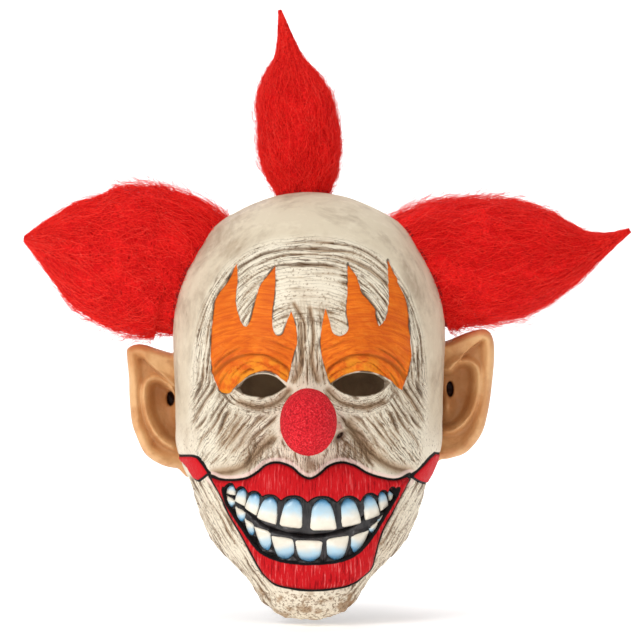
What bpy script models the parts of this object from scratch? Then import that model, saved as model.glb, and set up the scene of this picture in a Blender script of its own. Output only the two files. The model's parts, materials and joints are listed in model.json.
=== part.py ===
"""Latex clown mask for halloween: a one-piece latex skin with a flexing jaw, bonded-on ears, a foam nose,
teeth inserts behind the lips and three tufts of synthetic hair on sewn wefts.

Metres, +Z up. The face looks towards -Y and +X is on the right of someone facing it.
The origin is the middle of the wearer's head, level with the ear canals.
"""

import math

import bmesh
import bpy
import numpy as np

MM = 0.001

# Skin: heights of its two ends, its wall and the gaps between bonded pieces.
CROWN_Z = 0.127
CHIN_Z = -0.1395
WALL = 0.0026
BOND_GAP = 0.0005
NOSE_GAP = 0.0013
TEETH_GAP = 0.0012
COLUMNS = 48
ROWS = 26

# The surface is found along rays from the origin, by halving the span between these two radii.
LEAST_RADIUS = 0.02
MOST_RADIUS = 0.25
HALVINGS = 36

# Level sections of the head in millimetres: height, half width, front, back, and the y of the widest point.
SECTIONS = (
    (118, 39, -38, 47, 4),
    (109, 55.5, -55, 67, 4),
    (91, 71, -77, 92, 4),
    (75, 80.3, -89, 106, 5),
    (54, 86.2, -97, 116, 6),
    (35, 87.2, -100, 118, 6),
    (5, 86, -99, 116, 6),
    (-20, 85.2, -101, 109, 4),
    (-35, 84.5, -104, 103, 1),
    (-46, 81, -106, 98, -2),
    (-57, 75.5, -107, 93, -8),
    (-81, 67.5, -107, 78, -24),
    (-93, 61, -106, 60, -34),
    (-103, 51.5, -104, 40, -44),
    (-115, 38.5, -101, 8, -58),
    (-126, 30.5, -97, -28, -68),
    (-134, 22.5, -92, -55, -75),
)
SQUARENESS_TOP = 2.0
SQUARENESS_LOW = 2.5
SQUARE_FROM_Z = 0.04
SQUARE_TO_Z = -0.06

# Lower edge of the skin: azimuth from the nose in degrees, and its angle below level.
LOWER_EDGE = ((0, 64), (30, 60), (55, 49), (75, 38), (88, 31.5), (105, 32), (140, 36), (180, 38))

# Forms of the face in millimetres: centre x, centre z, spread x, spread z, height. Each is on both sides.
FACE_FORMS = (
    (27, 26, 20, 8, 4.5),  # brows
    (29, 5, 15, 9, -7.0),  # eye sockets
    (0, 4, 7, 15, 5.0),  # bridge of the nose
    (0, -21, 11, 11, 13.0),  # nose
    (50, -27, 17, 14, 5.5),  # cheeks
    (0, -74, 42, 26, 5.0),  # lips and teeth bulge
    (0, -122, 15, 10, 3.5),  # chin
)
FORMS_FADE = 40.0  # the forms fade out over this depth behind y = 0

# A distance beyond every surface of the skin, and the depths at which the front and rear cuts end.
OUTSIDE = 0.16
EYE_CUT_BACK = -0.04
MOUTH_CUT_BACK = -0.055
SLIT_CUT_FRONT = 0.05

# Openings, in millimetres in the front view.
EYE_CENTRE = (29, 6)
EYE_HALF = (15.5, 7.2)
MOUTH_TOP = ((0, -68), (12, -64.5), (35, -61), (50, -56.5), (60, -51.5))
MOUTH_BOTTOM = ((0, -103.5), (16, -101), (28, -96), (40, -87), (50, -72), (60, -54.5))
BITE = ((0, -86), (16, -84), (28, -80), (38, -73), (48, -63), (60, -53.5))
BITE_HALF_GAP = 0.95
BITE_CORNER_GAP = 0.35
TEETH_HALF_WIDTH = 60.0
TEETH_HIDDEN = 7.0
TEETH_THICKNESS = 0.005
TEETH_COLUMNS = 27
TEETH_ROWS = 5

# Jaw: its hinge line by the ear-lobes and its upper border in the side view, in millimetres.
HINGE_Y = 0.010
HINGE_Z = -0.050
JAW_BORDER = (
    (-200, -79), (-106, -79), (-97, -66), (-86, -53), (-70, -45.5), (-45, -42.5), (-22, -44), (-4, -49.5),
)
JAW_GAP = 0.0005

SLIT_TOP_Z = 0.012
SLIT_WIDTH = 0.0012
REINFORCEMENT_RADIUS = 0.018
REINFORCEMENT_THICKNESS = 0.0008

EAR_OUTLINE = (
    (-76, 26), (-90, 27), (-107, 31), (-115, 30), (-117, 22), (-116.5, 5), (-115, -14), (-112, -28),
    (-106, -40), (-98, -47), (-88, -50), (-76, -50),
)
EAR_THICKNESS = 0.011
EAR_Y = 0.012
EAR_LEAN = 0.35
EAR_LEAN_FROM = 0.085
EAR_BOWL = (-0.099, -0.002, -0.006)
EAR_BOWL_RADII = (0.0095, 0.0095, 0.024)
RIGHT_EAR_LIFT = 0.0050

NOSE_CENTRE = (0.0, -0.1175, -0.0165)
NOSE_RADII = (0.0172, 0.0186, 0.0204)

# Hair tufts in millimetres: centre x, centre z, half width, half depth of each section, root to tip.
TOP_TUFT = (
    (-4, 118, 16, 13), (-4, 127, 18, 15), (-4.5, 138, 23, 20), (-6, 154, 27, 23), (-7.5, 173, 26.5, 23),
    (-10.5, 189, 24.5, 21), (-12.5, 203, 17.5, 15), (-13.5, 214, 9.5, 8.5), (-16, 230, 4, 4),
)
TOP_TUFT_TIP = (-19, 245)
LEFT_TUFT = (
    (-62, 65, 36, 28), (-74, 72.5, 44, 34), (-85, 79, 48, 37), (-102, 82.5, 51, 38), (-119, 85.5, 49.5, 37),
    (-136, 88, 42.5, 33), (-152, 92, 32, 26), (-168, 95, 17, 14),
)
LEFT_TUFT_TIP = (-184, 97.5)
RIGHT_TUFT = (
    (60, 67, 37, 28), (71, 75.5, 42, 34), (83, 80, 43.5, 36), (101, 82.5, 43, 37), (120, 83.5, 42, 36),
    (139, 85.5, 38, 32), (155, 87, 30.5, 26), (168, 88.5, 21.5, 18), (181, 91.5, 11.5, 10), (193, 96, 5.5, 5),
)
RIGHT_TUFT_TIP = (207, 103)
TUFTS = (
    ("top", TOP_TUFT, TOP_TUFT_TIP),
    ("left", LEFT_TUFT, LEFT_TUFT_TIP),
    ("right", RIGHT_TUFT, RIGHT_TUFT_TIP),
)
TUFT_Y = 0.012
TUFT_SIDES = 18
WEFT_THICKNESS = 0.0014
WEFT_SHARE = 0.94

LATEX_CREAM = (0.68, 0.60, 0.48, 1)
LATEX_TAN = (0.62, 0.32, 0.14, 1)
LATEX_RAW = (0.55, 0.45, 0.30, 1)
NOSE_RED = (0.62, 0.02, 0.03, 1)
HAIR_RED = (0.72, 0.012, 0.01, 1)
TOOTH_WHITE = (0.80, 0.84, 0.82, 1)
GAUZE = (0.70, 0.66, 0.56, 1)


# Scene, materials and mesh helpers


def clear_scene():
    for obj in list(bpy.data.objects):
        bpy.data.objects.remove(obj)


def collection(name):
    made = bpy.data.collections.new(name)
    bpy.context.scene.collection.children.link(made)
    return made


def material(name, colour, roughness):
    made = bpy.data.materials.new(name)
    made.use_nodes = True
    shader = made.node_tree.nodes["Principled BSDF"]
    shader.inputs["Base Color"].default_value = colour
    shader.inputs["Roughness"].default_value = roughness
    shader.inputs["Metallic"].default_value = 0.0
    made.diffuse_color = colour
    return made


def object_from(name, bm, place):
    bmesh.ops.recalc_face_normals(bm, faces=bm.faces)
    mesh = bpy.data.meshes.new(name)
    bm.to_mesh(mesh)
    bm.free()
    obj = bpy.data.objects.new(name, mesh)
    place.objects.link(obj)
    return obj


def shade(obj, angle=40):
    obj.data.shade_smooth()
    obj.data.set_sharp_from_angle(angle=math.radians(angle))


def cutter(obj):
    obj.hide_render = True
    obj.display_type = "WIRE"
    return obj


def boolean(obj, other, operation):
    modifier = obj.modifiers.new(operation.lower() + "_" + other.name, "BOOLEAN")
    modifier.operation = operation
    modifier.object = other
    modifier.solver = "EXACT"


def hermite(at, knots, values):
    """A smooth curve through the knots: cubic pieces whose slopes come from the neighbouring knots."""
    knots, values = np.asarray(knots, float), np.asarray(values, float)
    slopes = np.gradient(values, knots)
    at = np.clip(at, knots[0], knots[-1])
    i = np.clip(np.searchsorted(knots, at) - 1, 0, len(knots) - 2)
    step = knots[i + 1] - knots[i]
    t = (at - knots[i]) / step
    ahead = t * t * (3 - 2 * t)
    lean_in = t * (1 - t) ** 2 * step * slopes[i]
    lean_out = t * t * (t - 1) * step * slopes[i + 1]
    return values[i] * (1 - ahead) + values[i + 1] * ahead + lean_in + lean_out


# The head's surface


def dome(z):
    """1 at mid height, falling to 0 at the crown and the chin as an ellipse does."""
    middle, half = (CROWN_Z + CHIN_Z) / 2, (CROWN_Z - CHIN_Z) / 2
    return np.sqrt(np.clip(1 - ((z - middle) / half) ** 2, 1e-8, 1))


def section_sizes(z):
    """Half width, reach to the front, reach to the back and y of the widest point at height z."""
    rows = np.array(sorted(SECTIONS)) * MM
    heights = rows[:, 0]
    middle = hermite(z, heights, rows[:, 4])
    reaches = (rows[:, 1], rows[:, 4] - rows[:, 2], rows[:, 3] - rows[:, 4])
    width, front, back = (hermite(z, heights, reach / dome(heights)) * dome(z) for reach in reaches)
    return width, front, back, middle


def squareness(z):
    low = np.clip((SQUARE_FROM_Z - z) / (SQUARE_FROM_Z - SQUARE_TO_Z), 0, 1)
    return SQUARENESS_TOP + (SQUARENESS_LOW - SQUARENESS_TOP) * low


def head_points(directions):
    """Where rays from the origin leave the plain head, without the forms of the face."""
    near = np.full(len(directions), LEAST_RADIUS)
    far = np.full(len(directions), MOST_RADIUS)
    for _ in range(HALVINGS):
        half_way = (near + far) / 2
        x, y, z = (directions * half_way[:, None]).T
        width, front, back, middle = section_sizes(z)
        reach = np.where(y < middle, front, back)
        power = squareness(z)
        inside = (abs(x) / width) ** power + (abs(y - middle) / reach) ** power < 1
        inside &= (z < CROWN_Z) & (z > CHIN_Z)
        near = np.where(inside, half_way, near)
        far = np.where(inside, far, half_way)
    return directions * near[:, None]


def face_forms(points):
    """How far the forms of the face push each point forwards."""
    x, y, z = points.T / MM
    push = np.zeros(len(points))
    for centre_x, centre_z, spread_x, spread_z, height in FACE_FORMS:
        across = (abs(x) - centre_x) / spread_x
        push += height * np.exp(-(across**2) - ((z - centre_z) / spread_z) ** 2)
    return push * MM * np.clip(-y / FORMS_FADE, 0, 1)


def head_grid(offset=0.0):
    """Rows of points from the crown down to the lower edge, moved outwards by offset."""
    azimuths = np.arange(COLUMNS) * 2 * math.pi / COLUMNS
    from_nose = np.degrees(abs((azimuths + math.pi) % (2 * math.pi) - math.pi))
    lowest = np.radians(hermite(from_nose, *zip(*LOWER_EDGE)))
    rows = []
    for row in range(1, ROWS + 1):
        elevation = math.pi / 2 - (math.pi / 2 + lowest) * row / ROWS
        level = np.cos(elevation)
        rays = np.stack([np.sin(azimuths) * level, -np.cos(azimuths) * level, np.sin(elevation)], axis=1)
        points = head_points(rays)
        points[:, 1] -= face_forms(points)
        rows.append(points)
    grid = np.array(rows)
    if offset:
        grid += outward(grid) * offset
    return grid


def outward(grid):
    """Unit normals of a grid of rows that run round the head."""
    around = np.roll(grid, -1, axis=1) - np.roll(grid, 1, axis=1)
    down = np.gradient(grid, axis=0)
    normals = np.cross(down, around)
    return normals / np.linalg.norm(normals, axis=2, keepdims=True)


def head_surface(name, place, offset=0.0, closed=False):
    """The skin's outer surface, open below, or closed as a solid when it is used to cut or trim."""
    grid = head_grid(offset)
    bm = bmesh.new()
    crown = bm.verts.new((0, 0, CROWN_Z + offset))
    rings = [[bm.verts.new(point) for point in row] for row in grid]
    for i in range(COLUMNS):
        bm.faces.new((crown, rings[0][i], rings[0][i - 1]))
        for upper, lower in zip(rings, rings[1:]):
            bm.faces.new((upper[i - 1], upper[i], lower[i]))
            bm.faces.new((upper[i - 1], lower[i], lower[i - 1]))
    if closed:
        bottom = bm.verts.new(np.mean(grid[-1], axis=0))
        for i in range(COLUMNS):
            bm.faces.new((rings[-1][i - 1], rings[-1][i], bottom))
    return object_from(name, bm, place)


def front_point(x, z, depth):
    """The point of the face at x and z, taken inwards along the surface's normal."""
    step = 0.0005
    beside = [surface_y(x + dx, z + dz) for dx, dz in ((-step, 0), (step, 0), (0, -step), (0, step))]
    slope_x = (beside[1] - beside[0]) / (2 * step)
    slope_z = (beside[3] - beside[2]) / (2 * step)
    normal = np.array([slope_x, -1.0, slope_z])
    normal /= np.linalg.norm(normal)
    return np.array([x, surface_y(x, z), z]) - normal * depth


def surface_y(x, z):
    """The y of the face at x and z."""
    width, front, _, middle = (float(size) for size in section_sizes(z))
    power = float(squareness(z))
    y = middle - front * max(1 - (abs(x) / width) ** power, 0) ** (1 / power)
    return y - float(face_forms(np.array([[x, y, z]]))[0])


# Solids


def prism(name, outline, near, far, place, axis="Y"):
    """An outline in millimetres, drawn in the front view, or the side view for axis X, and made deep."""
    bm = bmesh.new()
    ends = []
    for depth in (near, far):
        if axis == "Y":
            ends.append([bm.verts.new((a * MM, depth, b * MM)) for a, b in outline])
        else:
            ends.append([bm.verts.new((depth, a * MM, b * MM)) for a, b in outline])
    bm.faces.new(ends[0])
    bm.faces.new(ends[1][::-1])
    for i in range(len(outline)):
        bm.faces.new((ends[0][i], ends[0][i - 1], ends[1][i - 1], ends[1][i]))
    return object_from(name, bm, place)


def eye_outline(side):
    turns = np.linspace(0, 2 * math.pi, 20, endpoint=False)
    return [
        (side * EYE_CENTRE[0] + EYE_HALF[0] * math.cos(t), EYE_CENTRE[1] + EYE_HALF[1] * math.sin(t))
        for t in turns
    ]


def mouth_edge(knots, x):
    return float(hermite(abs(x), *zip(*knots)))


def mouth_outline():
    across = np.linspace(-60, 60, 25)
    top = [(x, mouth_edge(MOUTH_TOP, x)) for x in across]
    bottom = [(x, mouth_edge(MOUTH_BOTTOM, x)) for x in across[::-1]]
    return top + bottom


def bite_gap(x):
    """Half the height of the gap between the rows of teeth, which closes towards the corners."""
    return BITE_CORNER_GAP + (BITE_HALF_GAP - BITE_CORNER_GAP) * (1 - (x / TEETH_HALF_WIDTH) ** 2)


def teeth_plate(name, place, edges):
    """A plate behind the lips; edges gives its lowest and highest z at x, in millimetres."""
    bm = bmesh.new()
    front_depth = WALL + TEETH_GAP
    layers = []
    for depth in (front_depth, front_depth + TEETH_THICKNESS):
        layer = []
        for x in np.linspace(-TEETH_HALF_WIDTH, TEETH_HALF_WIDTH, TEETH_COLUMNS):
            low, high = edges(x)
            column = [front_point(x * MM, z * MM, depth) for z in np.linspace(low, high, TEETH_ROWS)]
            layer.append([bm.verts.new(point) for point in column])
        layers.append(layer)
    join_layers(bm, layers)
    return object_from(name, bm, place)


def join_layers(bm, layers):
    """Faces over two matching grids of vertices and round their border."""
    front, back = layers
    columns, rows = len(front), len(front[0])
    for i in range(columns - 1):
        for j in range(rows - 1):
            for layer in layers:
                bm.faces.new((layer[i][j], layer[i + 1][j], layer[i + 1][j + 1], layer[i][j + 1]))
    border = [(i, 0) for i in range(columns)] + [(columns - 1, j) for j in range(1, rows)]
    border += [(i, rows - 1) for i in range(columns - 2, -1, -1)] + [(0, j) for j in range(rows - 2, 0, -1)]
    for (i, j), (k, m) in zip(border, border[1:] + border[:1]):
        bm.faces.new((front[i][j], front[k][m], back[k][m], back[i][j]))


def tuft(name, place, sections, tip, scale=1.0):
    """Hair as one closed form, lofted through oval sections square to its middle line."""
    middle_line = [section[:2] for section in sections] + [tip]
    centres = np.array([(x * MM, TUFT_Y, z * MM) for x, z in middle_line])
    along = np.gradient(centres, axis=0)
    bm = bmesh.new()
    rings = []
    for centre, direction, (_, _, half_width, half_depth) in zip(centres, along, sections):
        across = np.array([direction[2], 0, -direction[0]])
        across /= np.linalg.norm(across)
        ring = []
        for turn in np.arange(TUFT_SIDES) * 2 * math.pi / TUFT_SIDES:
            out = across * half_width * math.cos(turn) + np.array([0, half_depth * math.sin(turn), 0])
            ring.append(bm.verts.new(centre + out * MM * scale))
        rings.append(ring)
    end = bm.verts.new(centres[-1])
    bm.faces.new(rings[0])
    for i in range(TUFT_SIDES):
        bm.faces.new((rings[-1][i - 1], rings[-1][i], end))
        for lower, upper in zip(rings, rings[1:]):
            bm.faces.new((lower[i - 1], lower[i], upper[i], upper[i - 1]))
    return object_from(name, bm, place)


def ear(name, place, side, lift):
    """A bonded-on ear: a rounded plate that faces forwards, with the bowl of the ear sunk into it."""
    curve = bpy.data.curves.new(name + "_outline", "CURVE")
    curve.dimensions = "2D"
    curve.fill_mode = "BOTH"
    curve.extrude = EAR_THICKNESS / 2 - 0.002
    curve.bevel_depth = 0.002
    curve.bevel_resolution = 1
    spline = curve.splines.new("BEZIER")
    spline.use_cyclic_u = True
    spline.resolution_u = 2
    spline.bezier_points.add(len(EAR_OUTLINE) - 1)
    for point, (x, z) in zip(spline.bezier_points, EAR_OUTLINE):
        point.co = (x * MM, z * MM, 0)
        point.handle_left_type = point.handle_right_type = "AUTO"
    outline = bpy.data.objects.new(name + "_curve", curve)
    place.objects.link(outline)
    outline.rotation_euler = (math.pi / 2, 0, 0)
    outline.location = (0, EAR_Y, 0)
    bpy.context.view_layer.update()
    evaluated = outline.evaluated_get(bpy.context.evaluated_depsgraph_get())
    mesh = bpy.data.meshes.new_from_object(evaluated)
    mesh.transform(outline.matrix_world)
    bpy.data.objects.remove(outline)
    bm = bmesh.new()
    bm.from_mesh(mesh)
    bmesh.ops.remove_doubles(bm, verts=bm.verts, dist=0.00001)
    for vertex in bm.verts:
        vertex.co.x *= -side
        vertex.co.z += lift
        vertex.co.y -= EAR_LEAN * (abs(vertex.co.x) - EAR_LEAN_FROM)
    return object_from(name, bm, place)


def ellipsoid(name, place, centre, radii, segments=20, rings=12):
    bm = bmesh.new()
    bmesh.ops.create_uvsphere(bm, u_segments=segments, v_segments=rings, radius=1.0)
    for vertex in bm.verts:
        vertex.co = [middle + part * radius for middle, part, radius in zip(centre, vertex.co, radii)]
    return object_from(name, bm, place)


# Sub-parts


def skin(name, place):
    obj = head_surface(name, place)
    shell = obj.modifiers.new("wall", "SOLIDIFY")
    shell.thickness = WALL
    shell.offset = -1.0
    shell.use_even_offset = False
    return obj


def jaw_region(name, place, grow):
    """What lies below the jaw's border and in front of the hinge; grow moves the border up."""
    outline = [(y, z + grow / MM) for y, z in JAW_BORDER]
    outline[-1] = (outline[-1][0] + grow / MM, outline[-1][1])
    outline += [(outline[-1][0], -200), (-200, -200)]
    return cutter(prism(name, outline, -OUTSIDE, OUTSIDE, place, axis="X"))


def face_shell(place, cutters, latex):
    obj = skin("face_shell", place)
    boolean(obj, jaw_region("jaw_cut", cutters, JAW_GAP), "DIFFERENCE")
    boolean(obj, bpy.data.objects["mouth_cut"], "DIFFERENCE")
    for side, name in ((-1, "left_eye_cut"), (1, "right_eye_cut")):
        hole = cutter(prism(name, eye_outline(side), -OUTSIDE, EYE_CUT_BACK, cutters))
        boolean(obj, hole, "DIFFERENCE")
    boolean(obj, bpy.data.objects["slit_cut"], "DIFFERENCE")
    obj.data.materials.append(latex)
    shade(obj)


def jaw_shell(place, cutters, latex, hinge):
    obj = skin("jaw_shell", place)
    boolean(obj, jaw_region("jaw_keep", cutters, 0.0), "INTERSECT")
    boolean(obj, bpy.data.objects["mouth_cut"], "DIFFERENCE")
    obj.data.materials.append(latex)
    shade(obj)
    hang(obj, hinge)


def hang(obj, hinge):
    obj.parent = hinge
    obj.matrix_parent_inverse = hinge.matrix_world.inverted()


def upper_teeth_edges(x):
    return mouth_edge(BITE, x) + bite_gap(x), mouth_edge(MOUTH_TOP, x) + TEETH_HIDDEN


def lower_teeth_edges(x):
    return mouth_edge(MOUTH_BOTTOM, x) - TEETH_HIDDEN, mouth_edge(BITE, x) - bite_gap(x)


def teeth(place, enamel, hinge):
    upper = teeth_plate("upper_teeth", place, upper_teeth_edges)
    lower = teeth_plate("lower_teeth", place, lower_teeth_edges)
    for obj in (upper, lower):
        obj.data.materials.append(enamel)
        shade(obj)
    hang(lower, hinge)


def ears(place, cutters, latex):
    trim = cutter(head_surface("ear_trim", cutters, offset=BOND_GAP, closed=True))
    for name, side, lift in (("left_ear", -1, 0.0), ("right_ear", 1, RIGHT_EAR_LIFT)):
        obj = ear(name, place, side, lift)
        x, y, z = EAR_BOWL
        bowl = ellipsoid(name + "_bowl", cutters, (-side * x, y, z + lift), EAR_BOWL_RADII)
        boolean(obj, cutter(bowl), "DIFFERENCE")
        boolean(obj, trim, "DIFFERENCE")
        obj.data.materials.append(latex)
        shade(obj, 50)


def foam_nose(place, cutters, foam):
    obj = ellipsoid("foam_nose", place, NOSE_CENTRE, NOSE_RADII, segments=28, rings=18)
    seat = cutter(head_surface("nose_seat", cutters, offset=NOSE_GAP, closed=True))
    boolean(obj, seat, "DIFFERENCE")
    obj.data.materials.append(foam)
    shade(obj, 60)


def hair(place, cutters, fibre, cloth):
    bond = cutter(head_surface("weft_bond", cutters, offset=BOND_GAP, closed=True))
    weft_top = cutter(head_surface("weft_top", cutters, offset=BOND_GAP + WEFT_THICKNESS, closed=True))
    root = cutter(head_surface("tuft_root", cutters, offset=2 * BOND_GAP + WEFT_THICKNESS, closed=True))
    for side, sections, tip in TUFTS:
        obj = tuft(side + "_hair_tuft", place, sections, tip)
        boolean(obj, root, "DIFFERENCE")
        obj.data.materials.append(fibre)
        shade(obj, 60)
        weft = tuft(side + "_hair_weft", place, sections[:4], sections[4][:2], scale=WEFT_SHARE)
        boolean(weft, weft_top, "INTERSECT")
        boolean(weft, bond, "DIFFERENCE")
        weft.data.materials.append(cloth)
        shade(weft)


def slit_reinforcement(place, cutters, cloth):
    """A gauze disc inside the skin, round the top end of the rear slit."""
    turns = np.linspace(0, 2 * math.pi, 24, endpoint=False)
    radius = REINFORCEMENT_RADIUS / MM
    outline = [(radius * math.cos(t), SLIT_TOP_Z / MM + radius * math.sin(t)) for t in turns]
    obj = prism("slit_reinforcement", outline, SLIT_CUT_FRONT, OUTSIDE, place)
    depth = WALL + BOND_GAP
    outer = cutter(head_surface("gauze_outer", cutters, offset=-depth, closed=True))
    inner = cutter(head_surface("gauze_inner", cutters, offset=-depth - REINFORCEMENT_THICKNESS, closed=True))
    boolean(obj, outer, "INTERSECT")
    boolean(obj, inner, "DIFFERENCE")
    boolean(obj, bpy.data.objects["slit_cut"], "DIFFERENCE")
    obj.data.materials.append(cloth)
    shade(obj)


def main():
    clear_scene()
    mask = collection("latex_clown_mask")
    cutters = collection("cutters")
    hinge = bpy.data.objects.new("jaw_hinge", None)
    hinge.location = (0, HINGE_Y, HINGE_Z)
    mask.objects.link(hinge)
    bpy.context.view_layer.update()
    cutter(prism("mouth_cut", mouth_outline(), -OUTSIDE, MOUTH_CUT_BACK, cutters))
    half_slit = SLIT_WIDTH / 2 / MM
    low, high = -OUTSIDE / MM, SLIT_TOP_Z / MM
    slit = [(-half_slit, low), (half_slit, low), (half_slit, high), (-half_slit, high)]
    cutter(prism("slit_cut", slit, SLIT_CUT_FRONT, OUTSIDE, cutters))

    cream = material("cream_latex", LATEX_CREAM, 0.62)
    tan = material("tan_latex", LATEX_TAN, 0.55)
    gauze = material("gauze", GAUZE, 0.95)
    face_shell(mask, cutters, cream)
    jaw_shell(mask, cutters, cream, hinge)
    teeth(mask, material("tooth_latex", TOOTH_WHITE, 0.3), hinge)
    ears(mask, cutters, tan)
    foam_nose(mask, cutters, material("red_foam", NOSE_RED, 0.9))
    hair(mask, cutters, material("red_fibre", HAIR_RED, 0.6), gauze)
    slit_reinforcement(mask, cutters, gauze)


main()
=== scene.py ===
"""The looks of the latex clown mask: sculpted and painted skin, teeth, ears, foam nose and frizzy hair.

Lengths marked mm are millimetres in the front view of the mask; everything handed to Blender is in metres.
"""

import functools
import json
import math

import bmesh
import bpy
import mathutils
import numpy as np
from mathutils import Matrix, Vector

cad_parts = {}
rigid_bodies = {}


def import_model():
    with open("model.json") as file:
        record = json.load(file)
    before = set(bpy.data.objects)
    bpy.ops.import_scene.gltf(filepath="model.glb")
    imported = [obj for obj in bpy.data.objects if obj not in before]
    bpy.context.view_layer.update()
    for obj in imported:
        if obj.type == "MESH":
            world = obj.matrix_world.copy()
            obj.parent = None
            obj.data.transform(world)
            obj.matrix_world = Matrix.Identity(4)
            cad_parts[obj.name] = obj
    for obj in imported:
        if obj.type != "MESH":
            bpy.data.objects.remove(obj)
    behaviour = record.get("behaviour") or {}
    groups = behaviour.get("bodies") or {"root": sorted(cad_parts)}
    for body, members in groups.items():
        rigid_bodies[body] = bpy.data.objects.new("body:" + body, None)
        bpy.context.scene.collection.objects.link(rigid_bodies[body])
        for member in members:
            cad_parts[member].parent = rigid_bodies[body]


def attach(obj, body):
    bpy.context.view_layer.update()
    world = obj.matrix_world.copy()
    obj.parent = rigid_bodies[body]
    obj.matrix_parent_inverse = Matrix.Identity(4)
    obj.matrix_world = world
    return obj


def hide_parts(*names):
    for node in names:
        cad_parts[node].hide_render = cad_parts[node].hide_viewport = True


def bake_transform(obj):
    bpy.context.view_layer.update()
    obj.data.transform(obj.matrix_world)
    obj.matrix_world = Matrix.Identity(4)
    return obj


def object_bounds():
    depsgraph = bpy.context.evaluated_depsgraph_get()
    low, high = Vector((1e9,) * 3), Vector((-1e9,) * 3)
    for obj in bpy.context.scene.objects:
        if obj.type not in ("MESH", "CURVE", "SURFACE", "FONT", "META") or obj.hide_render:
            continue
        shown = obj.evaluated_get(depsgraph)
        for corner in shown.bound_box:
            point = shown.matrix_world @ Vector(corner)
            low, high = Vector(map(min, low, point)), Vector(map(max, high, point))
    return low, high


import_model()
cad_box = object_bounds()

MM = 0.001
SEED = 20261


# ---------------------------------------------------------------- numbers and curves


def hermite(at, knots, values):
    """A smooth curve through the knots: cubic pieces whose slopes come from the neighbouring knots."""
    knots, values = np.asarray(knots, float), np.asarray(values, float)
    slopes = np.gradient(values, knots)
    at = np.clip(at, knots[0], knots[-1])
    i = np.clip(np.searchsorted(knots, at) - 1, 0, len(knots) - 2)
    step = knots[i + 1] - knots[i]
    t = (at - knots[i]) / step
    ahead = t * t * (3 - 2 * t)
    lean_in = t * (1 - t) ** 2 * step * slopes[i]
    lean_out = t * t * (t - 1) * step * slopes[i + 1]
    return values[i] * (1 - ahead) + values[i + 1] * ahead + lean_in + lean_out


def ramp(value, low, high):
    """0 at low, 1 at high, smooth between; low may be above high."""
    t = np.clip((value - low) / (high - low), 0, 1)
    return t * t * (3 - 2 * t)


def hump(value, middle, spread):
    return np.exp(-(((value - middle) / spread) ** 2))


def noise(x, y, seed):
    """Gradient noise in the plane, from about -0.7 to 0.7, one cell a unit."""
    draw = np.random.default_rng(SEED + seed)
    shuffled = draw.permutation(1024)
    angles = draw.uniform(0, 2 * math.pi, 1024)
    cell_x, cell_y = np.floor(x).astype(int), np.floor(y).astype(int)
    part_x, part_y = x - cell_x, y - cell_y
    fade_x = part_x**3 * (part_x * (part_x * 6 - 15) + 10)
    fade_y = part_y**3 * (part_y * (part_y * 6 - 15) + 10)

    def corner(dx, dy):
        angle = angles[shuffled[(shuffled[(cell_x + dx) & 1023] + cell_y + dy) & 1023]]
        return np.cos(angle) * (part_x - dx) + np.sin(angle) * (part_y - dy)

    low = corner(0, 0) * (1 - fade_x) + corner(1, 0) * fade_x
    high = corner(0, 1) * (1 - fade_x) + corner(1, 1) * fade_x
    return low * (1 - fade_y) + high * fade_y


def smooth_outline(points, closed=True, steps=8):
    """A Catmull-Rom curve through points; a point given as a 3-tuple with True is a sharp tip."""
    places = np.array([point[:2] for point in points], float)
    sharp = [len(point) > 2 for point in points]
    count = len(places)
    out = []
    for i in range(count if closed else count - 1):
        a, b = places[i], places[(i + 1) % count]
        before = places[i - 1] if closed or i else a
        after = places[(i + 2) % count] if closed or i + 2 < count else b
        lean_a = (b - a) * 0.9 if sharp[i] else (b - before) / 2
        lean_b = (b - a) * 0.9 if sharp[(i + 1) % count] else (after - a) / 2
        for t in np.arange(steps) / steps:
            h = t * t * (3 - 2 * t)
            out.append(a * (1 - h) + b * h + lean_a * t * (1 - t) ** 2 + lean_b * t * t * (t - 1))
    if not closed:
        out.append(places[-1])
    return np.array(out)


def distance_to_line(x, z, line, closed):
    """Distance in the plane from each point to a line of points."""
    ends = np.roll(line, -1, axis=0) if closed else line[1:]
    best = np.full(len(x), 1e9)
    for (ax, az), (bx, bz) in zip(line, ends):
        dx, dz = bx - ax, bz - az
        t = np.clip(((x - ax) * dx + (z - az) * dz) / (dx * dx + dz * dz + 1e-12), 0, 1)
        best = np.minimum(best, (x - ax - t * dx) ** 2 + (z - az - t * dz) ** 2)
    return np.sqrt(best)


def inside_outline(x, z, line):
    inside = np.zeros(len(x), bool)
    for (ax, az), (bx, bz) in zip(line, np.roll(line, -1, axis=0)):
        if az != bz:
            crosses = (az > z) != (bz > z)
            inside ^= crosses & (x < (bx - ax) * (z - az) / (bz - az) + ax)
    return inside


def depth_inside(x, z, line, reach=14.0):
    """How far inside a closed outline each point is, in mm; negative outside, and capped at reach outside."""
    near = (x > line[:, 0].min() - reach) & (x < line[:, 0].max() + reach)
    near &= (z > line[:, 1].min() - reach) & (z < line[:, 1].max() + reach)
    depth = np.full(len(x), -reach)
    found = distance_to_line(x[near], z[near], line, True)
    depth[near] = np.where(inside_outline(x[near], z[near], line), found, -found)
    return np.maximum(depth, -reach)


# ---------------------------------------------------------------- the head, as the CAD has it

CROWN_Z, CHIN_Z = 0.127, -0.1395
WALL = 0.0026
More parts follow.
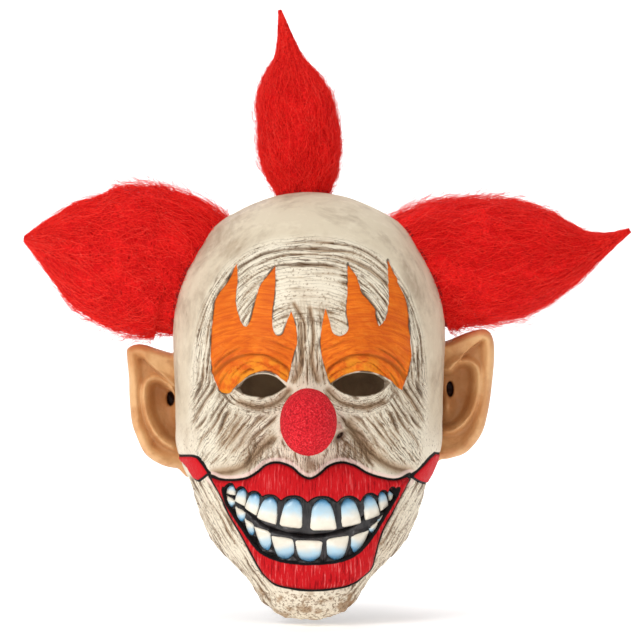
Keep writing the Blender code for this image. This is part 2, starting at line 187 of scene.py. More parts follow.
# Level sections in mm: height, half width, front, back, and the y of the widest point.
SECTIONS = (
    (118, 39, -38, 47, 4),
    (109, 55.5, -55, 67, 4),
    (91, 71, -77, 92, 4),
    (75, 80.3, -89, 106, 5),
    (54, 86.2, -97, 116, 6),
    (35, 87.2, -100, 118, 6),
    (5, 86, -99, 116, 6),
    (-20, 85.2, -101, 109, 4),
    (-35, 84.5, -104, 103, 1),
    (-46, 81, -106, 98, -2),
    (-57, 75.5, -107, 93, -8),
    (-81, 67.5, -107, 78, -24),
    (-93, 61, -106, 60, -34),
    (-103, 51.5, -104, 40, -44),
    (-115, 38.5, -101, 8, -58),
    (-126, 30.5, -97, -28, -68),
    (-134, 22.5, -92, -55, -75),
)
# The skin's lower edge as (angle from the front, angle below level), in degrees.
LOWER_EDGE = ((0, 64), (30, 60), (55, 49), (75, 38), (88, 31.5), (105, 32), (140, 36), (180, 38))
# Forms pushed out of the face, in mm: centre x and z, spread x and z, and height. They are on both sides.
FACE_FORMS = (
    (27, 26, 20, 8, 4.5),
    (29, 5, 15, 9, -7.0),
    (0, 4, 7, 15, 5.0),
    (0, -21, 11, 11, 13.0),
    (50, -27, 17, 14, 5.5),
    (0, -74, 42, 26, 5.0),
    (0, -122, 15, 10, 3.5),
)
# Where the jaw shell ends, in the side view: (y, z) in mm.
JAW_BORDER = ((-106, -79), (-97, -66), (-86, -53), (-70, -45.5), (-45, -42.5), (-22, -44), (-4, -49.5),
    (12, -52))
SLIT_TOP_Z = 12.0
# The wings of the sculpted nose beside the ball: how far to the side, and the form, in mm.
NOSE_WINGS = ((21.8, (0, -20, 4.5, 4.6, 6.0)), (-18.5, (0, -24, 4.5, 6.0, 4.0)))


def dome(z):
    """The share of its widest size that a ball from the chin to the crown has at a height."""
    middle, half = (CROWN_Z + CHIN_Z) / 2, (CROWN_Z - CHIN_Z) / 2
    return np.sqrt(np.clip(1 - ((z - middle) / half) ** 2, 1e-8, 1))


def section_sizes(z):
    rows = np.array(sorted(SECTIONS)) * MM
    heights = rows[:, 0]
    middle = hermite(z, heights, rows[:, 4])
    reaches = (rows[:, 1], rows[:, 4] - rows[:, 2], rows[:, 3] - rows[:, 4])
    width, front, back = (hermite(z, heights, reach / dome(heights)) * dome(z) for reach in reaches)
    return width, front, back, middle


def squareness(z):
    return 2.0 + 0.5 * np.clip((0.04 - z) / 0.10, 0, 1)


def head_points(directions):
    near, far = np.full(len(directions), 0.02), np.full(len(directions), 0.25)
    for _ in range(30):
        half_way = (near + far) / 2
        x, y, z = (directions * half_way[:, None]).T
        width, front, back, middle = section_sizes(z)
        reach = np.where(y < middle, front, back)
        power = squareness(z)
        inside = (abs(x) / width) ** power + (abs(y - middle) / reach) ** power < 1
        inside &= (z < CROWN_Z) & (z > CHIN_Z)
        near, far = np.where(inside, half_way, near), np.where(inside, far, half_way)
    return directions * near[:, None]


def form_push(x, y, z, forms):
    """How far forms, in mm, push points forwards, in metres."""
    push = np.zeros(len(x))
    for centre_x, centre_z, spread_x, spread_z, height in forms:
        push += height * hump(abs(x), centre_x, spread_x) * hump(z, centre_z, spread_z)
    return push * MM * np.clip(-y / 40, 0, 1)


def face_point(x, z, depth=0.0):
    """Points of the face at x and z in mm, taken depth metres inwards, level and square to the face."""
    x, z = np.atleast_1d(x).astype(float), np.atleast_1d(z).astype(float)

    def surface_y(x, z):
        width, front, _, middle = section_sizes(z * MM)
        power = squareness(z * MM)
        y = middle - front * np.clip(1 - (abs(x) * MM / width) ** power, 0, 1) ** (1 / power)
        return y - form_push(x, y / MM, z, FACE_FORMS)

    step = 0.5
    slope_x = (surface_y(x + step, z) - surface_y(x - step, z)) / (2 * step * MM)
    normal = np.stack([slope_x, -np.ones(len(x)), np.zeros(len(x))], axis=1)
    normal /= np.linalg.norm(normal, axis=1, keepdims=True)
    return np.stack([x * MM, surface_y(x, z), z * MM], axis=1) - normal * depth


# ---------------------------------------------------------- outlines of the face, in mm, front view

LEFT_EYE = ((-44.5, 2.5, True), (-37, 9.5), (-29, 12), (-20.5, 10.5), (-13.5, 4.5, True), (-21, -0.5),
    (-30, -2), (-38.5, -0.5))
RIGHT_EYE = ((13.5, 6, True), (22, 11), (32, 13), (42, 11), (49.5, 6.5, True), (43.5, 1), (32, -1.7),
    (20.5, 0.8))
LEFT_FLAME = (
    (-44.5, 80.5, True), (-50.5, 69), (-58, 58), (-60, 42), (-61, 26), (-60, 13), (-56, 2.5), (-52,
        0), (-47.5, 1),
    (-42.5, 6), (-36, 11.5), (-28, 14), (-20.5, 12.5), (-13, 7, True), (-10, 19.5), (-7, 31), (-7.5, 41),
    (-10.5, 51, True), (-14, 42.5), (-16, 37), (-19.5, 36), (-22, 41), (-22, 51), (-20.5, 63.5), (-20.5,
        78.5, True),
    (-26, 72), (-30.5, 65), (-33.5, 55), (-36, 45), (-39, 41), (-42.5, 46), (-45, 57), (-44, 69),
)
RIGHT_FLAME = (
    (13, 6, True), (10.5, 14.5), (7.5, 26), (7.5, 37), (10.5, 52.5, True), (13, 44), (15, 37.5), (19.5, 35.5),
    (24.5, 39.5), (23, 51), (24, 63), (24, 80, True), (29.5, 72), (33, 62), (37, 57.5), (41, 52), (42, 45.5),
    (43.5, 41, True), (47, 45), (49.5, 55), (49.5, 69), (49, 82.5, True), (53, 75), (57, 65.5), (61.5,
        55), (62.5, 42),
    (63.5, 31), (64, 21.5), (61.5, 11), (58, 1.5, True), (53.5, 5), (48, 9), (40, 13), (32, 14.2), (24.5,
        13), (18.5, 9.7),
)
UPPER_LIP = (
    (-61.5, -50.5, True), (-54, -52.5), (-45, -52.5), (-37, -51), (-31, -47.5), (-25.5, -43), (-18.5, -41.5),
    (-10.5, -44), (-4.5, -49), (1, -51), (6.5, -48.5), (12.5, -43.5), (20, -41.5), (28, -43.5), (35.5, -48),
    (44, -51), (53, -52.5), (63.5, -50, True), (51, -63), (38, -74), (20, -84), (0, -87), (-20, -84), (-38,
        -74), (-51, -63),
)
LOWER_LIP = (
    (-61, -51, True), (-54.5, -62), (-48.5, -74), (-41, -86), (-34.5, -98), (-28.5, -108.5), (-21, -115.5),
    (-10.5, -118), (1.5, -119), (14, -118.5), (25.5, -116.5), (34, -111.5), (39, -106), (41.5, -96), (45,
        -84),
    (51.5, -72.5), (57.5, -62), (63.5, -51, True), (50, -57), (38, -66), (20, -76), (0, -80), (-20,
        -76), (-38, -66), (-48, -57),
)
MOUTH_LOW = (
    (-51.6, -58), (-50.8, -66), (-46.5, -72.5), (-40.5, -81), (-33.5, -90.5), (-27, -96.3), (-15,
        -100.8), (1.5, -102.3),
    (18, -100.8), (28.5, -96.3), (37, -87.8), (44, -78), (49.5, -69), (53.8, -62), (54.8, -58),
)
LEFT_STRIP = ((-84, -41.5, True), (-79, -40.3), (-73, -39.5), (-69, -40, True), (-65, -44.5),
    (-61.5, -49, True),
              (-65, -52), (-68.5, -54.5, True), (-72, -53.5, True), (-76.5, -46.8), (-83, -42.6))
RIGHT_STRIP = ((79, -38.5, True), (83, -40), (88, -42.5, True), (81, -49.5), (74.5, -57.5, True), (69, -55),
               (64, -51.6, True), (65.5, -49.8), (70.5, -45.6), (75, -41.5))
# Teeth in mm: the middle of the root, the two corners of the cutting edge, and the root's half width.
UPPER_TEETH = (
    ((-47.3, -55.8), (-49.8, -61.5), (-45.4, -62), 1.7),
    ((-40.2, -57.6), (-45, -65.8), (-39.6, -68.5), 1.9),
    ((-32.3, -60.2), (-39.2, -69.8), (-32.6, -74), 2.8),
    ((-23, -62.2), (-32, -75.6), (-20.6, -79.4), 3.6),
    ((-8.8, -62.7), (-18.2, -79.8), (-4.4, -81.6), 4.4),
    ((8.3, -63.1), (1.1, -82.6), (17.6, -82.3), 4.7),
    ((24, -63), (21.5, -80.9), (32.8, -78.6), 3.8),
    ((36.8, -61.5), (35.6, -77), (44, -74.2), 2.7),
    ((44.8, -60), (44.6, -71.8), (48.6, -68.8), 1.8),
    ((50.7, -58.2), (49.9, -65.8), (53.5, -63.8), 1.5),
)
LOWER_TEETH = (
    ((-48.2, -69.6), (-50.2, -62), (-45.8, -65.2), 1.3),
    ((-41.2, -77.6), (-44.8, -68.6), (-39.6, -72), 1.4),
    ((-35, -85.6), (-39.4, -75.6), (-34.6, -79.2), 1.4),
    ((-25.6, -95), (-33.8, -80), (-24.2, -83.6), 2.4),
    ((-13.8, -100.2), (-23.4, -85.4), (-9.6, -87.8), 4.6),
    ((0.7, -101.8), (-8.4, -88.2), (8.6, -88.8), 5.3),
    ((16.8, -100.9), (11.6, -87.8), (25.4, -85.4), 4.6),
    ((28.8, -96.4), (27.4, -86.2), (37.6, -82.6), 2.3),
    ((40.2, -85), (38, -81.8), (43, -77.4), 1.3),
    ((46, -79.8), (43.2, -76.6), (49.6, -71), 1.3),
)
# Deep folds: the points of the line, its depth and its half width, in mm.
FOLDS = (
    (((-22, -27), (-30, -34), (-37, -42), (-46, -47), (-58, -49)), 1.5, 3.2),
    (((25, -17), (32, -29), (41, -38), (52, -45), (62, -48)), 2.0, 3.4),
    (((-12, 2), (-20, -5), (-31, -8), (-42, -5)), 1.0, 2.2),
    (((12, 2), (21, -5), (33, -8), (46, -5)), 1.0, 2.2),
    (((-5, 44), (-4, 30), (-5, 16), (-9, 8)), 1.2, 1.6),
    (((1, 52), (3, 36), (2, 20), (6, 8)), 1.0, 1.5),
    (((-9, 55), (-3, 44), (-2, 34)), 0.8, 1.3),
)
NOSTRIL = (19.3, -25.6)


def mouth_opening():
    """The opening between the lips: its top has an arch over each upper tooth, with lip between."""
    x = np.linspace(MOUTH_LOW[0][0], MOUTH_LOW[-1][0], 213)
    top = hermite(x, (-52, -44, 0, 46, 55), (-57, -61, -69, -62, -57.5))
    for root, left, right, half_root in UPPER_TEETH:
        half = half_root + (right[0] - left[0]) / 4
        across = (x - root[0]) / (half + 0.9)
        top = np.maximum(top, root[1] + 1.0 - 5.0 * np.abs(across) ** 2.4)
    top = np.minimum(top, hermite(x, (-52, -44, 0, 46, 55), (-55, -54.5, -61, -56, -56)))
    low = smooth_outline(MOUTH_LOW, closed=False)[::-1]
    return np.concatenate([np.stack([x, top], axis=1), low])


OUTLINES = {
    "left_eye": smooth_outline(LEFT_EYE),
    "right_eye": smooth_outline(RIGHT_EYE),
    "left_flame": smooth_outline(LEFT_FLAME),
    "right_flame": smooth_outline(RIGHT_FLAME),
    "upper_lip": smooth_outline(UPPER_LIP),
    "lower_lip": smooth_outline(LOWER_LIP),
    "left_strip": smooth_outline(LEFT_STRIP),
    "right_strip": smooth_outline(RIGHT_STRIP),
    "mouth": mouth_opening(),
}


# ---------------------------------------------------------------- relief and paint of the skin


def strokes(across, along, width, length, seed, thin=0.13):
    """Wrinkle lines that run along one coordinate: 1 in the line, 0 between lines."""
    bend = 0.9 * noise(across / 17, along / 23, seed + 50)
    value = noise(across / width + bend, along / length, seed)
    return ramp(abs(value), thin, 0.0)


def folds(across, along, width, length, seed):
    """Overlapping folds, one each width: (height, line at the step of two folds, shade beside it)."""
    bend = 0.9 * noise(across / (2.6 * width), along / length, seed)
    bend += 0.35 * noise(across / width, along / (0.45 * length), seed + 1)
    place = across / width + bend
    cell = np.floor(place)
    part = place - cell

    def strength(cell):
        return np.clip(0.70 + 1.4 * noise(cell * 7.31, along / (0.8 * length), seed + 2), 0, 1)

    strong, strong_before = strength(cell), strength(cell + 1)
    height = strong * (1 - part) ** 1.3 * ramp(part, 0.0, 0.14)
    line = np.maximum(strong * hump(part, 0, 0.15), strong_before * hump(part, 1, 0.18))
    return height, line, strong_before * ramp(part, 0.35, 1.0)


def wrinkle_fields(x, z):
    """(across, along, mask) of each family of wrinkles; the families follow the forms of the face."""
    side = abs(x)
    arch = ((side / 70) ** 2.6 + (np.maximum(z + 10, 0) / 100) ** 2.6) ** (1 / 2.6) * 100
    turn = np.degrees(np.arctan2(x, z + 30)) * 1.5
    top = ramp(z, -2, 12) * ramp(arch, 109, 104) * ramp(np.maximum(arch - 62, z + side * 0.5 - 46), -10, 12)
    brow_furrow = ramp(side, 16, 9) * ramp(z, 3, 10) * ramp(z, 64, 42)
    eye_x, eye_z = side - 30, z - 6
    around = np.hypot(eye_x, eye_z * 1.5)
    bags = ramp(around, 13, 16) * ramp(around, 33, 25) * ramp(z, 4, -2) * ramp(side, 6, 12)
    cheek = ramp(z, 3, -5) * ramp(z, -48, -40) * ramp(side, 15, 22) * ramp(side, 74, 66) * (1 - 0.8 * bags)
    feet = ramp(side, 46, 52) * ramp(side, 76, 70) * ramp(z, 14, 4) * ramp(z, -26, -14)
    lip = ramp(z, -24, -30) * ramp(z, -60, -50) * ramp(side, 44, 34)
    jaw = ramp(z, -50, -57)
    return {
        "arch": (arch, turn, top * (1 - 0.55 * ramp(side, 24, 16) * ramp(z, 50, 57) * ramp(z, 80, 74))),
        "furrow": (x + 0.04 * z, z, brow_furrow),
        "bags": (around, np.degrees(np.arctan2(eye_x, -eye_z)) / 2, bags),
        "cheek": (0.766 * side + 0.643 * z + 0.004 * (side - 40) ** 2, 0.766 * z - 0.643 * side,
            np.maximum(cheek, feet)),
        "lip": (0.9 * x, z, lip),
        "jaw": (0.83 * side - 0.55 * z, 0.55 * side + 0.83 * z, jaw * ramp(side, 16, 27)),
    }


# Each family: width and length of its coarse lines, their depth, and the depth of its fine lines, in mm.
WRINKLES = {
    "arch": (3.7, 34, 1.35, 0.55),
    "furrow": (3.3, 24, 1.20, 0.45),
    "bags": (3.0, 20, 1.00, 0.40),
    "cheek": (4.4, 22, 1.20, 0.50),
    "lip": (3.2, 12, 0.40, 0.30),
    "jaw": (3.8, 26, 0.65, 0.35),
}


def wrinkle_relief(x, z, bare):
    """(relief, wash, painted shade, values for the shader) of all the families of wrinkles."""
    relief, wash, tone = np.zeros((3, len(x)))
    values = {}
    for seed, (name, (across, along, mask)) in enumerate(wrinkle_fields(x, z).items()):
        width, length, coarse, fine = WRINKLES[name]
        mask = mask * bare
        height, line, shade = folds(across, along, width, length, 10 * seed + 1)
        small_height, small, small_shade = folds(across, along, width * 0.45, length * 0.6, 10 * seed + 4)
        swell = noise(across / (2.4 * width), along / (1.6 * length), 10 * seed + 7)
        relief += mask * coarse * (height - 0.45 - 0.5 * line + 0.5 * swell)
        relief += mask * fine * (small_height - 0.4 - 0.5 * small)
        wash = np.maximum(wash, mask * np.maximum(0.95 * line, 0.75 * small * (0.7 + swell)))
        # Painted shade: brown beside each fold's step and in the small folds, less where the folds swell.
        tone = np.maximum(tone, mask * np.clip(0.8 * shade + 0.35 * small_shade - 0.5 * swell, 0, 1))
        values |= {name + "_s": across, name + "_t": along, name + "_m": mask}
    return relief, wash, tone, values


def lid_relief(x, z, flame):
    """(relief, values for the shader) of the folds of the lids, which run through the flames."""
    lid_x, lid_z = abs(x) - 31, z - 2
    lid = np.hypot(lid_x * 0.8, lid_z)
    turn = np.degrees(np.arctan2(lid_x, lid_z)) / 3
    height, line, shade = folds(lid, turn, 5.5, 22, 91)
    near_eye = ramp(flame, 0, 1.5) * ramp(lid, 40, 24)
    deep = 21 + 0.12 * lid_x
    relief = near_eye * (1.3 * (height - 0.45) - 0.5 * line)
    relief += 0.7 * ramp(flame, 0, 2) * noise(lid / 7, lid_x / 22, 92)
    relief -= 1.4 * hump(lid, deep, 1.6) * ramp(flame, 0.5, 2.5)
    # Brown wash on the steps of the lid folds, with painted shade beside them and in the deep lid crease.
    lid_wash_and_shade = np.maximum(near_eye * (0.75 * line + 0.45 * shade), hump(lid, deep, 1.3))
    return relief, {"lid": lid, "lid_turn": turn, "lid_wash_and_shade": lid_wash_and_shade}


def lip_relief(x, z, depth, strip, front, bare):
    """Full lips with fine upright grooves, a pale rim above, and a groove under each painted outline."""
    upper, lower, mouth = depth["upper_lip"], depth["lower_lip"], depth["mouth"]
    lips = np.maximum(upper, lower)
    grooves = strokes(x, z, 1.9, 15, 71, 0.22)
    full = np.where(upper > lower, 2.6, 3.0) * (1 - np.exp(-np.maximum(lips, 0) / 2.6))
    relief = (full - 0.35 * grooves * ramp(lips, 0.5, 2)) * front
    relief -= 1.1 * ramp(mouth, -2.2, 0.2) * ramp(lips, 0, 1.5) * front
    relief -= 0.7 * hump(lips, -0.2, 0.8) * front
    relief += 1.5 * hump(upper, -2.4, 1.5) * bare * ramp(abs(x), 60, 50) * ramp(z, -60, -55)
    relief += 0.8 * hump(lower, -2.2, 1.6) * bare * ramp(z, -62, -75)
    return relief + (0.9 * ramp(strip, -0.4, 0.9) - 0.8 * hump(strip, -0.5, 0.9)) * front


def relief_and_paint(x, y, z):
    """Relief outwards in metres, and the paint's values, at points of the plain head given in mm."""
    front = ramp(y, 0, -35)
    depth = {name: np.where(y > 5, -14, depth_inside(x, z, line)) for name, line in OUTLINES.items()}
    flame = np.maximum(depth["left_flame"], depth["right_flame"])
    lips = np.maximum(depth["upper_lip"], depth["lower_lip"])
    strip = np.maximum(depth["left_strip"], depth["right_strip"])
    eyes = np.maximum(depth["left_eye"], depth["right_eye"])
    bare = ramp(np.maximum.reduce([flame, lips, strip]), 0.6, -0.8) * front

    relief, wash, tone, wrinkle_values = wrinkle_relief(x, z, bare)
    for points, fold_depth, half_width in FOLDS:
        away = distance_to_line(x, z, smooth_outline(points, closed=False), False) / half_width
        relief += fold_depth * (0.6 * hump(away, 0, 2.2) - 1.4 * hump(away, 0, 1)) * bare
        wash = np.maximum(wash, 0.75 * hump(away, 0, 0.42) * bare)
        # Brown painted shade along the deep folds, wider than their wash line.
        tone = np.maximum(tone, 0.8 * hump(away, 0, 1.3) * bare)
    off_x, off_z = x - NOSTRIL[0], z - NOSTRIL[1]
    nostril = np.hypot((off_x * 0.8 + off_z * 0.6) / 1.9, off_z * 0.8 - off_x * 0.6)
    relief -= 3.0 * hump(nostril, 0, 1.7) * front

    # Flames lie a little deeper than the skin round them, and the rims of the eye holes stand up.
    lids, lid_values = lid_relief(x, z, flame)
    relief += lids - 0.9 * ramp(flame, -0.5, 0.7) * front
    relief += 1.3 * hump(eyes, -1.6, 1.3) * front * ramp(z, -3, 3)
    relief += 0.6 * hump(eyes, -1.4, 1.0) * front * ramp(z, 3, -3)
    relief += lip_relief(x, z, depth, strip, front, bare)

    cap = ramp(wrinkle_fields(x, z)["arch"][0], 103, 110) * ramp(z, -34, -12)
    cap = np.maximum(cap, 1 - front)
    relief += 0.25 * noise(x / 9, z / 9 + y / 13, 81)
    relief += 0.12 * noise(x / 3, z / 3 + y / 4, 82) * (1 - 0.6 * cap)
    chin = ramp(z, -117, -123) * bare
    relief += (1.3 * noise(x / 7, z / 5, 83) + 0.5 * noise(x / 2.6, z / 2.2, 84)) * chin
    paint = {"blaze": flame, "lips": lips, "strip": strip, "eyes": eyes, "mouth": depth["mouth"], "cap": cap}
    paint |= {"wash": wash, "tone": tone, "nostril": np.minimum(nostril, 20), "front_x": x, "front_z": z}
    return relief * MM, paint | lid_values | wrinkle_values


# ---------------------------------------------------------------- meshes from grids


def spaced(stops):
    """Angles from the first stop to the last; each stop is (angle, spacing), with smooth changes."""
    angles = [stops[0][0]]
    ends, spacings = zip(*stops)
    while angles[-1] < ends[-1]:
        angles.append(angles[-1] + float(np.interp(angles[-1], ends, spacings)))
    angles = np.array(angles)
    return ends[0] + (angles - ends[0]) * (ends[-1] - ends[0]) / (angles[-1] - ends[0])


def grid_triangles(index, closed):
    """Two triangles for each cell of a grid of point indices, whose rows may close round."""
    beside = np.roll(index, -1, axis=1)
    if not closed:
        index, beside = index[:, :-1], beside[:, :-1]
    a, b, c, d = index[:-1], beside[:-1], beside[1:], index[1:]
    return np.concatenate([np.stack(corners, axis=-1).reshape(-1, 3) for corners in ((a, b, c), (a, c, d))])


def head_sheet(azimuths, elevations):
    """The skin's outer surface, one point for each direction, with its paint and normals."""
    turn, lift = np.meshgrid(np.radians(azimuths), np.radians(elevations))
    rays = np.stack([np.sin(turn) * np.cos(lift), -np.cos(turn) * np.cos(lift), np.sin(lift)], axis=2)
    plain = head_points(rays.reshape(-1, 3))
    x, y, z = plain.T / MM
    points = plain.copy()
    points[:, 1] -= form_push(x, y, z, FACE_FORMS)
    for shift, form in NOSE_WINGS:
        points[:, 1] -= form_push(x - shift, y, z, (form,))
    grid = points.reshape(rays.shape)
    around = np.roll(grid, -1, axis=1) - np.roll(grid, 1, axis=1)
    normals = np.cross(around, np.gradient(grid, axis=0))
    normals /= np.maximum(np.linalg.norm(normals, axis=2, keepdims=True), 1e-12)
    normals[0] = (0, 0, 1)
    normals = normals.reshape(-1, 3)
    if (normals * points).sum() < 0:
        normals = -normals
    relief, paint = relief_and_paint(x, y, z)
    points += normals * relief[:, None]
    index = np.arange(len(points)).reshape(turn.shape)
    return Sheet(points, plain, normals, paint, grid_triangles(index, True)[:, ::-1])


class Sheet:
    """A triangle mesh whose points carry named values that survive cutting."""

    def __init__(self, points, plain, normals, paint, triangles):
        self.names = list(paint)
        self.rows = np.concatenate([points, plain, normals,
            np.stack([paint[n] for n in self.names], axis=1)], axis=1)
        self.triangles = triangles

    @property
    def points(self):
        return self.rows[:, :3]

    @property
    def plain(self):
        return self.rows[:, 3:6]

    @property
    def normals(self):
        return self.rows[:, 6:9]

    def value(self, name):
        return self.rows[:, 9 + self.names.index(name)]

    def copy(self):
        other = object.__new__(Sheet)
        other.names, other.rows, other.triangles = self.names, self.rows.copy(), self.triangles.copy()
        return other

    def keep(self, value):
        """Cuts away what lies where value is above 0, along the exact line of value 0."""
        value = np.where(abs(value) < 1e-4, -1e-4, value)
        out = value > 0
        count = out[self.triangles].sum(axis=1)
        whole = self.triangles[count == 0]
        pieces = [whole]
        edges = {}
        rows = []

        def crossing(a, b):
            key = (a, b) if a < b else (b, a)
            if key not in edges:
                t = value[key[0]] / (value[key[0]] - value[key[1]])
                rows.append(self.rows[key[0]] * (1 - t) + self.rows[key[1]] * t)
                edges[key] = len(self.rows) + len(rows) - 1
            return edges[key]

        made = []
        for triangle in self.triangles[(count == 1) | (count == 2)]:
            lone = np.flatnonzero(out[triangle] == (out[triangle].sum() == 1))[0]
            a, b, c = (int(triangle[(lone + i) % 3]) for i in range(3))
            ab, ca = crossing(a, b), crossing(a, c)
            if out[a]:
                made += [(ab, b, c), (ab, c, ca)]
            else:
                made.append((a, ab, ca))
        if made:
            pieces.append(np.array(made))
            self.rows = np.concatenate([self.rows, np.array(rows)])
        self.triangles = np.concatenate(pieces)
        return self.packed()

    def packed(self):
        """Drops the points that no triangle uses."""
        used, index = np.unique(self.triangles, return_inverse=True)
        self.rows = self.rows[used]
        self.triangles = index.reshape(-1, 3)
        return self


def border_loops(triangles):
    """The open borders of a mesh, each a list of point indices in order."""
    ends = np.concatenate([triangles[:, [0, 1]], triangles[:, [1, 2]], triangles[:, [2, 0]]])
    base = ends.max() + 1
    forward = ends[:, 0] * base + ends[:, 1]
    backward = ends[:, 1] * base + ends[:, 0]
    open_ends = ends[~np.isin(forward, backward)]
    following = {}
    for a, b in open_ends.tolist():
        following.setdefault(a, []).append(b)
    loops = []
    while following:
        start = next(iter(following))
        loop = [start]
        while True:
            options = following[loop[-1]]
            after = options.pop()
            if not options:
                del following[loop[-1]]
            if after == start or after not in following:
                break
            loop.append(after)
        if len(loop) > 5:
            loops.append(loop)
    return loops


def zip_loops(points, outer, inner):
    """Triangles between two borders that run the same way, always taking the shorter next rung."""
    near = int(np.argmin(np.linalg.norm(points[inner] - points[outer[0]], axis=1)))
    inner = inner[near:] + inner[:near]
    outer_places, inner_places = points[outer], points[inner]
    i = j = 0
    made = []
    while i < len(outer) or j < len(inner):
        next_i, next_j = (i + 1) % len(outer), (j + 1) % len(inner)
        here_i, here_j = i % len(outer), j % len(inner)
        by_outer = np.linalg.norm(outer_places[next_i] - inner_places[here_j])
        by_inner = np.linalg.norm(outer_places[here_i] - inner_places[next_j])
        if j >= len(inner) or (i < len(outer) and by_outer <= by_inner):
            made.append((outer[here_i], inner[here_j], outer[next_i]))
            i += 1
        else:
            made.append((outer[here_i], inner[here_j], inner[next_j]))
            j += 1
    return made


def join_walls(outer, inner):
    """One closed mesh of an outer sheet, an inner sheet turned to face inwards, and the rims between them."""
    shift = len(outer.rows)
    rows = np.concatenate([outer.rows, inner.rows])
    rims = []
    inner_loops = [[p + shift for p in loop] for loop in border_loops(inner.triangles)]
    for loop in sorted(border_loops(outer.triangles), key=len, reverse=True):
        if not inner_loops:
            break
        middle = rows[loop, :3].mean(axis=0)
        nearest = min(inner_loops, key=lambda other: np.linalg.norm(rows[other, :3].mean(axis=0) - middle))
        inner_loops.remove(nearest)
        rims += zip_loops(rows[:, :3], loop, nearest)
    joined = outer.copy()
    joined.rows = rows
    inside = inner.triangles[:, ::-1] + shift
    joined.triangles = np.concatenate([outer.triangles, np.array(rims).reshape(-1, 3), inside])
    joined.inside_from = len(outer.triangles) + len(rims)
    return joined


def mesh_object(name, points, triangles):
    """A smooth-shaded mesh object from arrays of points and triangles."""
    mesh = bpy.data.meshes.new(name)
    mesh.vertices.add(len(points))
    mesh.vertices.foreach_set("co", np.ascontiguousarray(points, np.float32).ravel())
    mesh.loops.add(triangles.size)
    mesh.loops.foreach_set("vertex_index", np.ascontiguousarray(triangles, np.int32).ravel())
    mesh.polygons.add(len(triangles))
    mesh.polygons.foreach_set("loop_start", np.arange(0, triangles.size, 3, dtype=np.int32))
    mesh.update(calc_edges=True)
    mesh.shade_smooth()
    obj = bpy.data.objects.new(name, mesh)
    bpy.context.scene.collection.objects.link(obj)
    return obj


def add_value(obj, name, values):
    attribute = obj.data.attributes.new(name, "FLOAT", "POINT")
    attribute.data.foreach_set("value", np.ascontiguousarray(values, np.float32))


def sheet_object(name, sheet):
    obj = mesh_object(name, sheet.points, sheet.triangles)
    for value in sheet.names:
        add_value(obj, value, sheet.value(value))
    return obj


# ---------------------------------------------------------------- materials


class Graph:
    """A short way to write a node material."""

    def __init__(self, name):
        self.material = bpy.data.materials.new(name)
        self.material.use_nodes = True
        self.nodes = self.material.node_tree.nodes
        self.links = self.material.node_tree.links
        self.shader = self.nodes["Principled BSDF"]

    def node(self, kind, **settings):
        made = self.nodes.new(kind)
        for key, value in settings.items():
            setattr(made, key, value)
        return made

    def plug(self, socket, value):
        if isinstance(value, bpy.types.NodeSocket):
            self.links.new(value, socket)
        else:
            socket.default_value = value

    def plug_all(self, node, **values):
        """Fills the node's inputs by name; an underscore stands for a space."""
        for key, value in values.items():
            self.plug(node.inputs[key.replace("_", " ")], value)

    def value(self, name):
        return self.node("ShaderNodeAttribute", attribute_name=name).outputs["Fac"]

    def place(self):
        return self.node("ShaderNodeTexCoord").outputs["Object"]

    def combine(self, x, y):
        made = self.node("ShaderNodeCombineXYZ")
        self.plug_all(made, X=x, Y=y)
        return made.outputs["Vector"]

    def math(self, operation, a, b=0.0):
        made = self.node("ShaderNodeMath", operation=operation)
        self.plug(made.inputs[0], a)
        self.plug(made.inputs[1], b)
        return made.outputs[0]

    def times(self, *factors):
        return functools.reduce(lambda a, b: self.math("MULTIPLY", a, b), factors)

    def plus(self, *terms):
        return functools.reduce(lambda a, b: self.math("ADD", a, b), terms)

    def minus(self, a, b):
        return self.math("SUBTRACT", a, b)

    def over(self, a, b):
        return self.math("DIVIDE", a, b)

    def larger(self, a, b):
        return self.math("MAXIMUM", a, b)

    def ramp(self, value, low, high, bottom=0.0, top=1.0):
        made = self.node("ShaderNodeMapRange", interpolation_type="SMOOTHSTEP")
        self.plug_all(made, Value=value, From_Min=low, From_Max=high, To_Min=bottom, To_Max=top)
        return made.outputs["Result"]

    def swing(self, field, size):
        """The field moved to swing evenly round 0."""
        return self.times(self.minus(field, 0.5), size)

    def mix(self, share, a, b):
        made = self.node("ShaderNodeMix", data_type="RGBA")
        for index, value in ((0, share), (6, a), (7, b)):
            self.plug(made.inputs[index], value)
        return made.outputs[2]

    def noise(self, vector, scale, detail=3.0, rough=0.55, distortion=0.0):
        made = self.node("ShaderNodeTexNoise")
        self.plug_all(made, Vector=vector, Scale=scale, Detail=detail, Roughness=rough, Distortion=distortion)
        return made.outputs["Fac"]

    def drawn_noise(self, across, width, along, length, distortion):
        """Noise drawn out over two of the skin's values."""
        place = self.combine(self.over(self.value(across), width), self.over(self.value(along), length))
        return self.noise(place, 1.0, 3.0, 0.6, distortion)

    def border(self, field, shift, outer, inner):
        """The share of a line along the border of a painted field."""
        return self.ramp(self.math("ABSOLUTE", self.plus(field, shift)), outer, inner)

    def bump(self, height, distance):
        made = self.node("ShaderNodeBump")
        self.plug_all(made, Height=height, Distance=distance, Strength=1.0)
        return made.outputs["Normal"]

    def finish(self, colour, roughness, normal, **sockets):
        self.plug_all(self.shader, Base_Color=colour, Roughness=roughness, Normal=normal, **sockets)
        return self.material


def srgb(red, green, blue):
    """A colour given as 0 to 255 values on screen, as linear light."""
    linear = [c / 255 / 12.92 if c / 255 <= 0.04045 else ((c / 255 + 0.055) / 1.055) ** 2.4 for c in (red,
        green, blue)]
    return (*linear, 1.0)


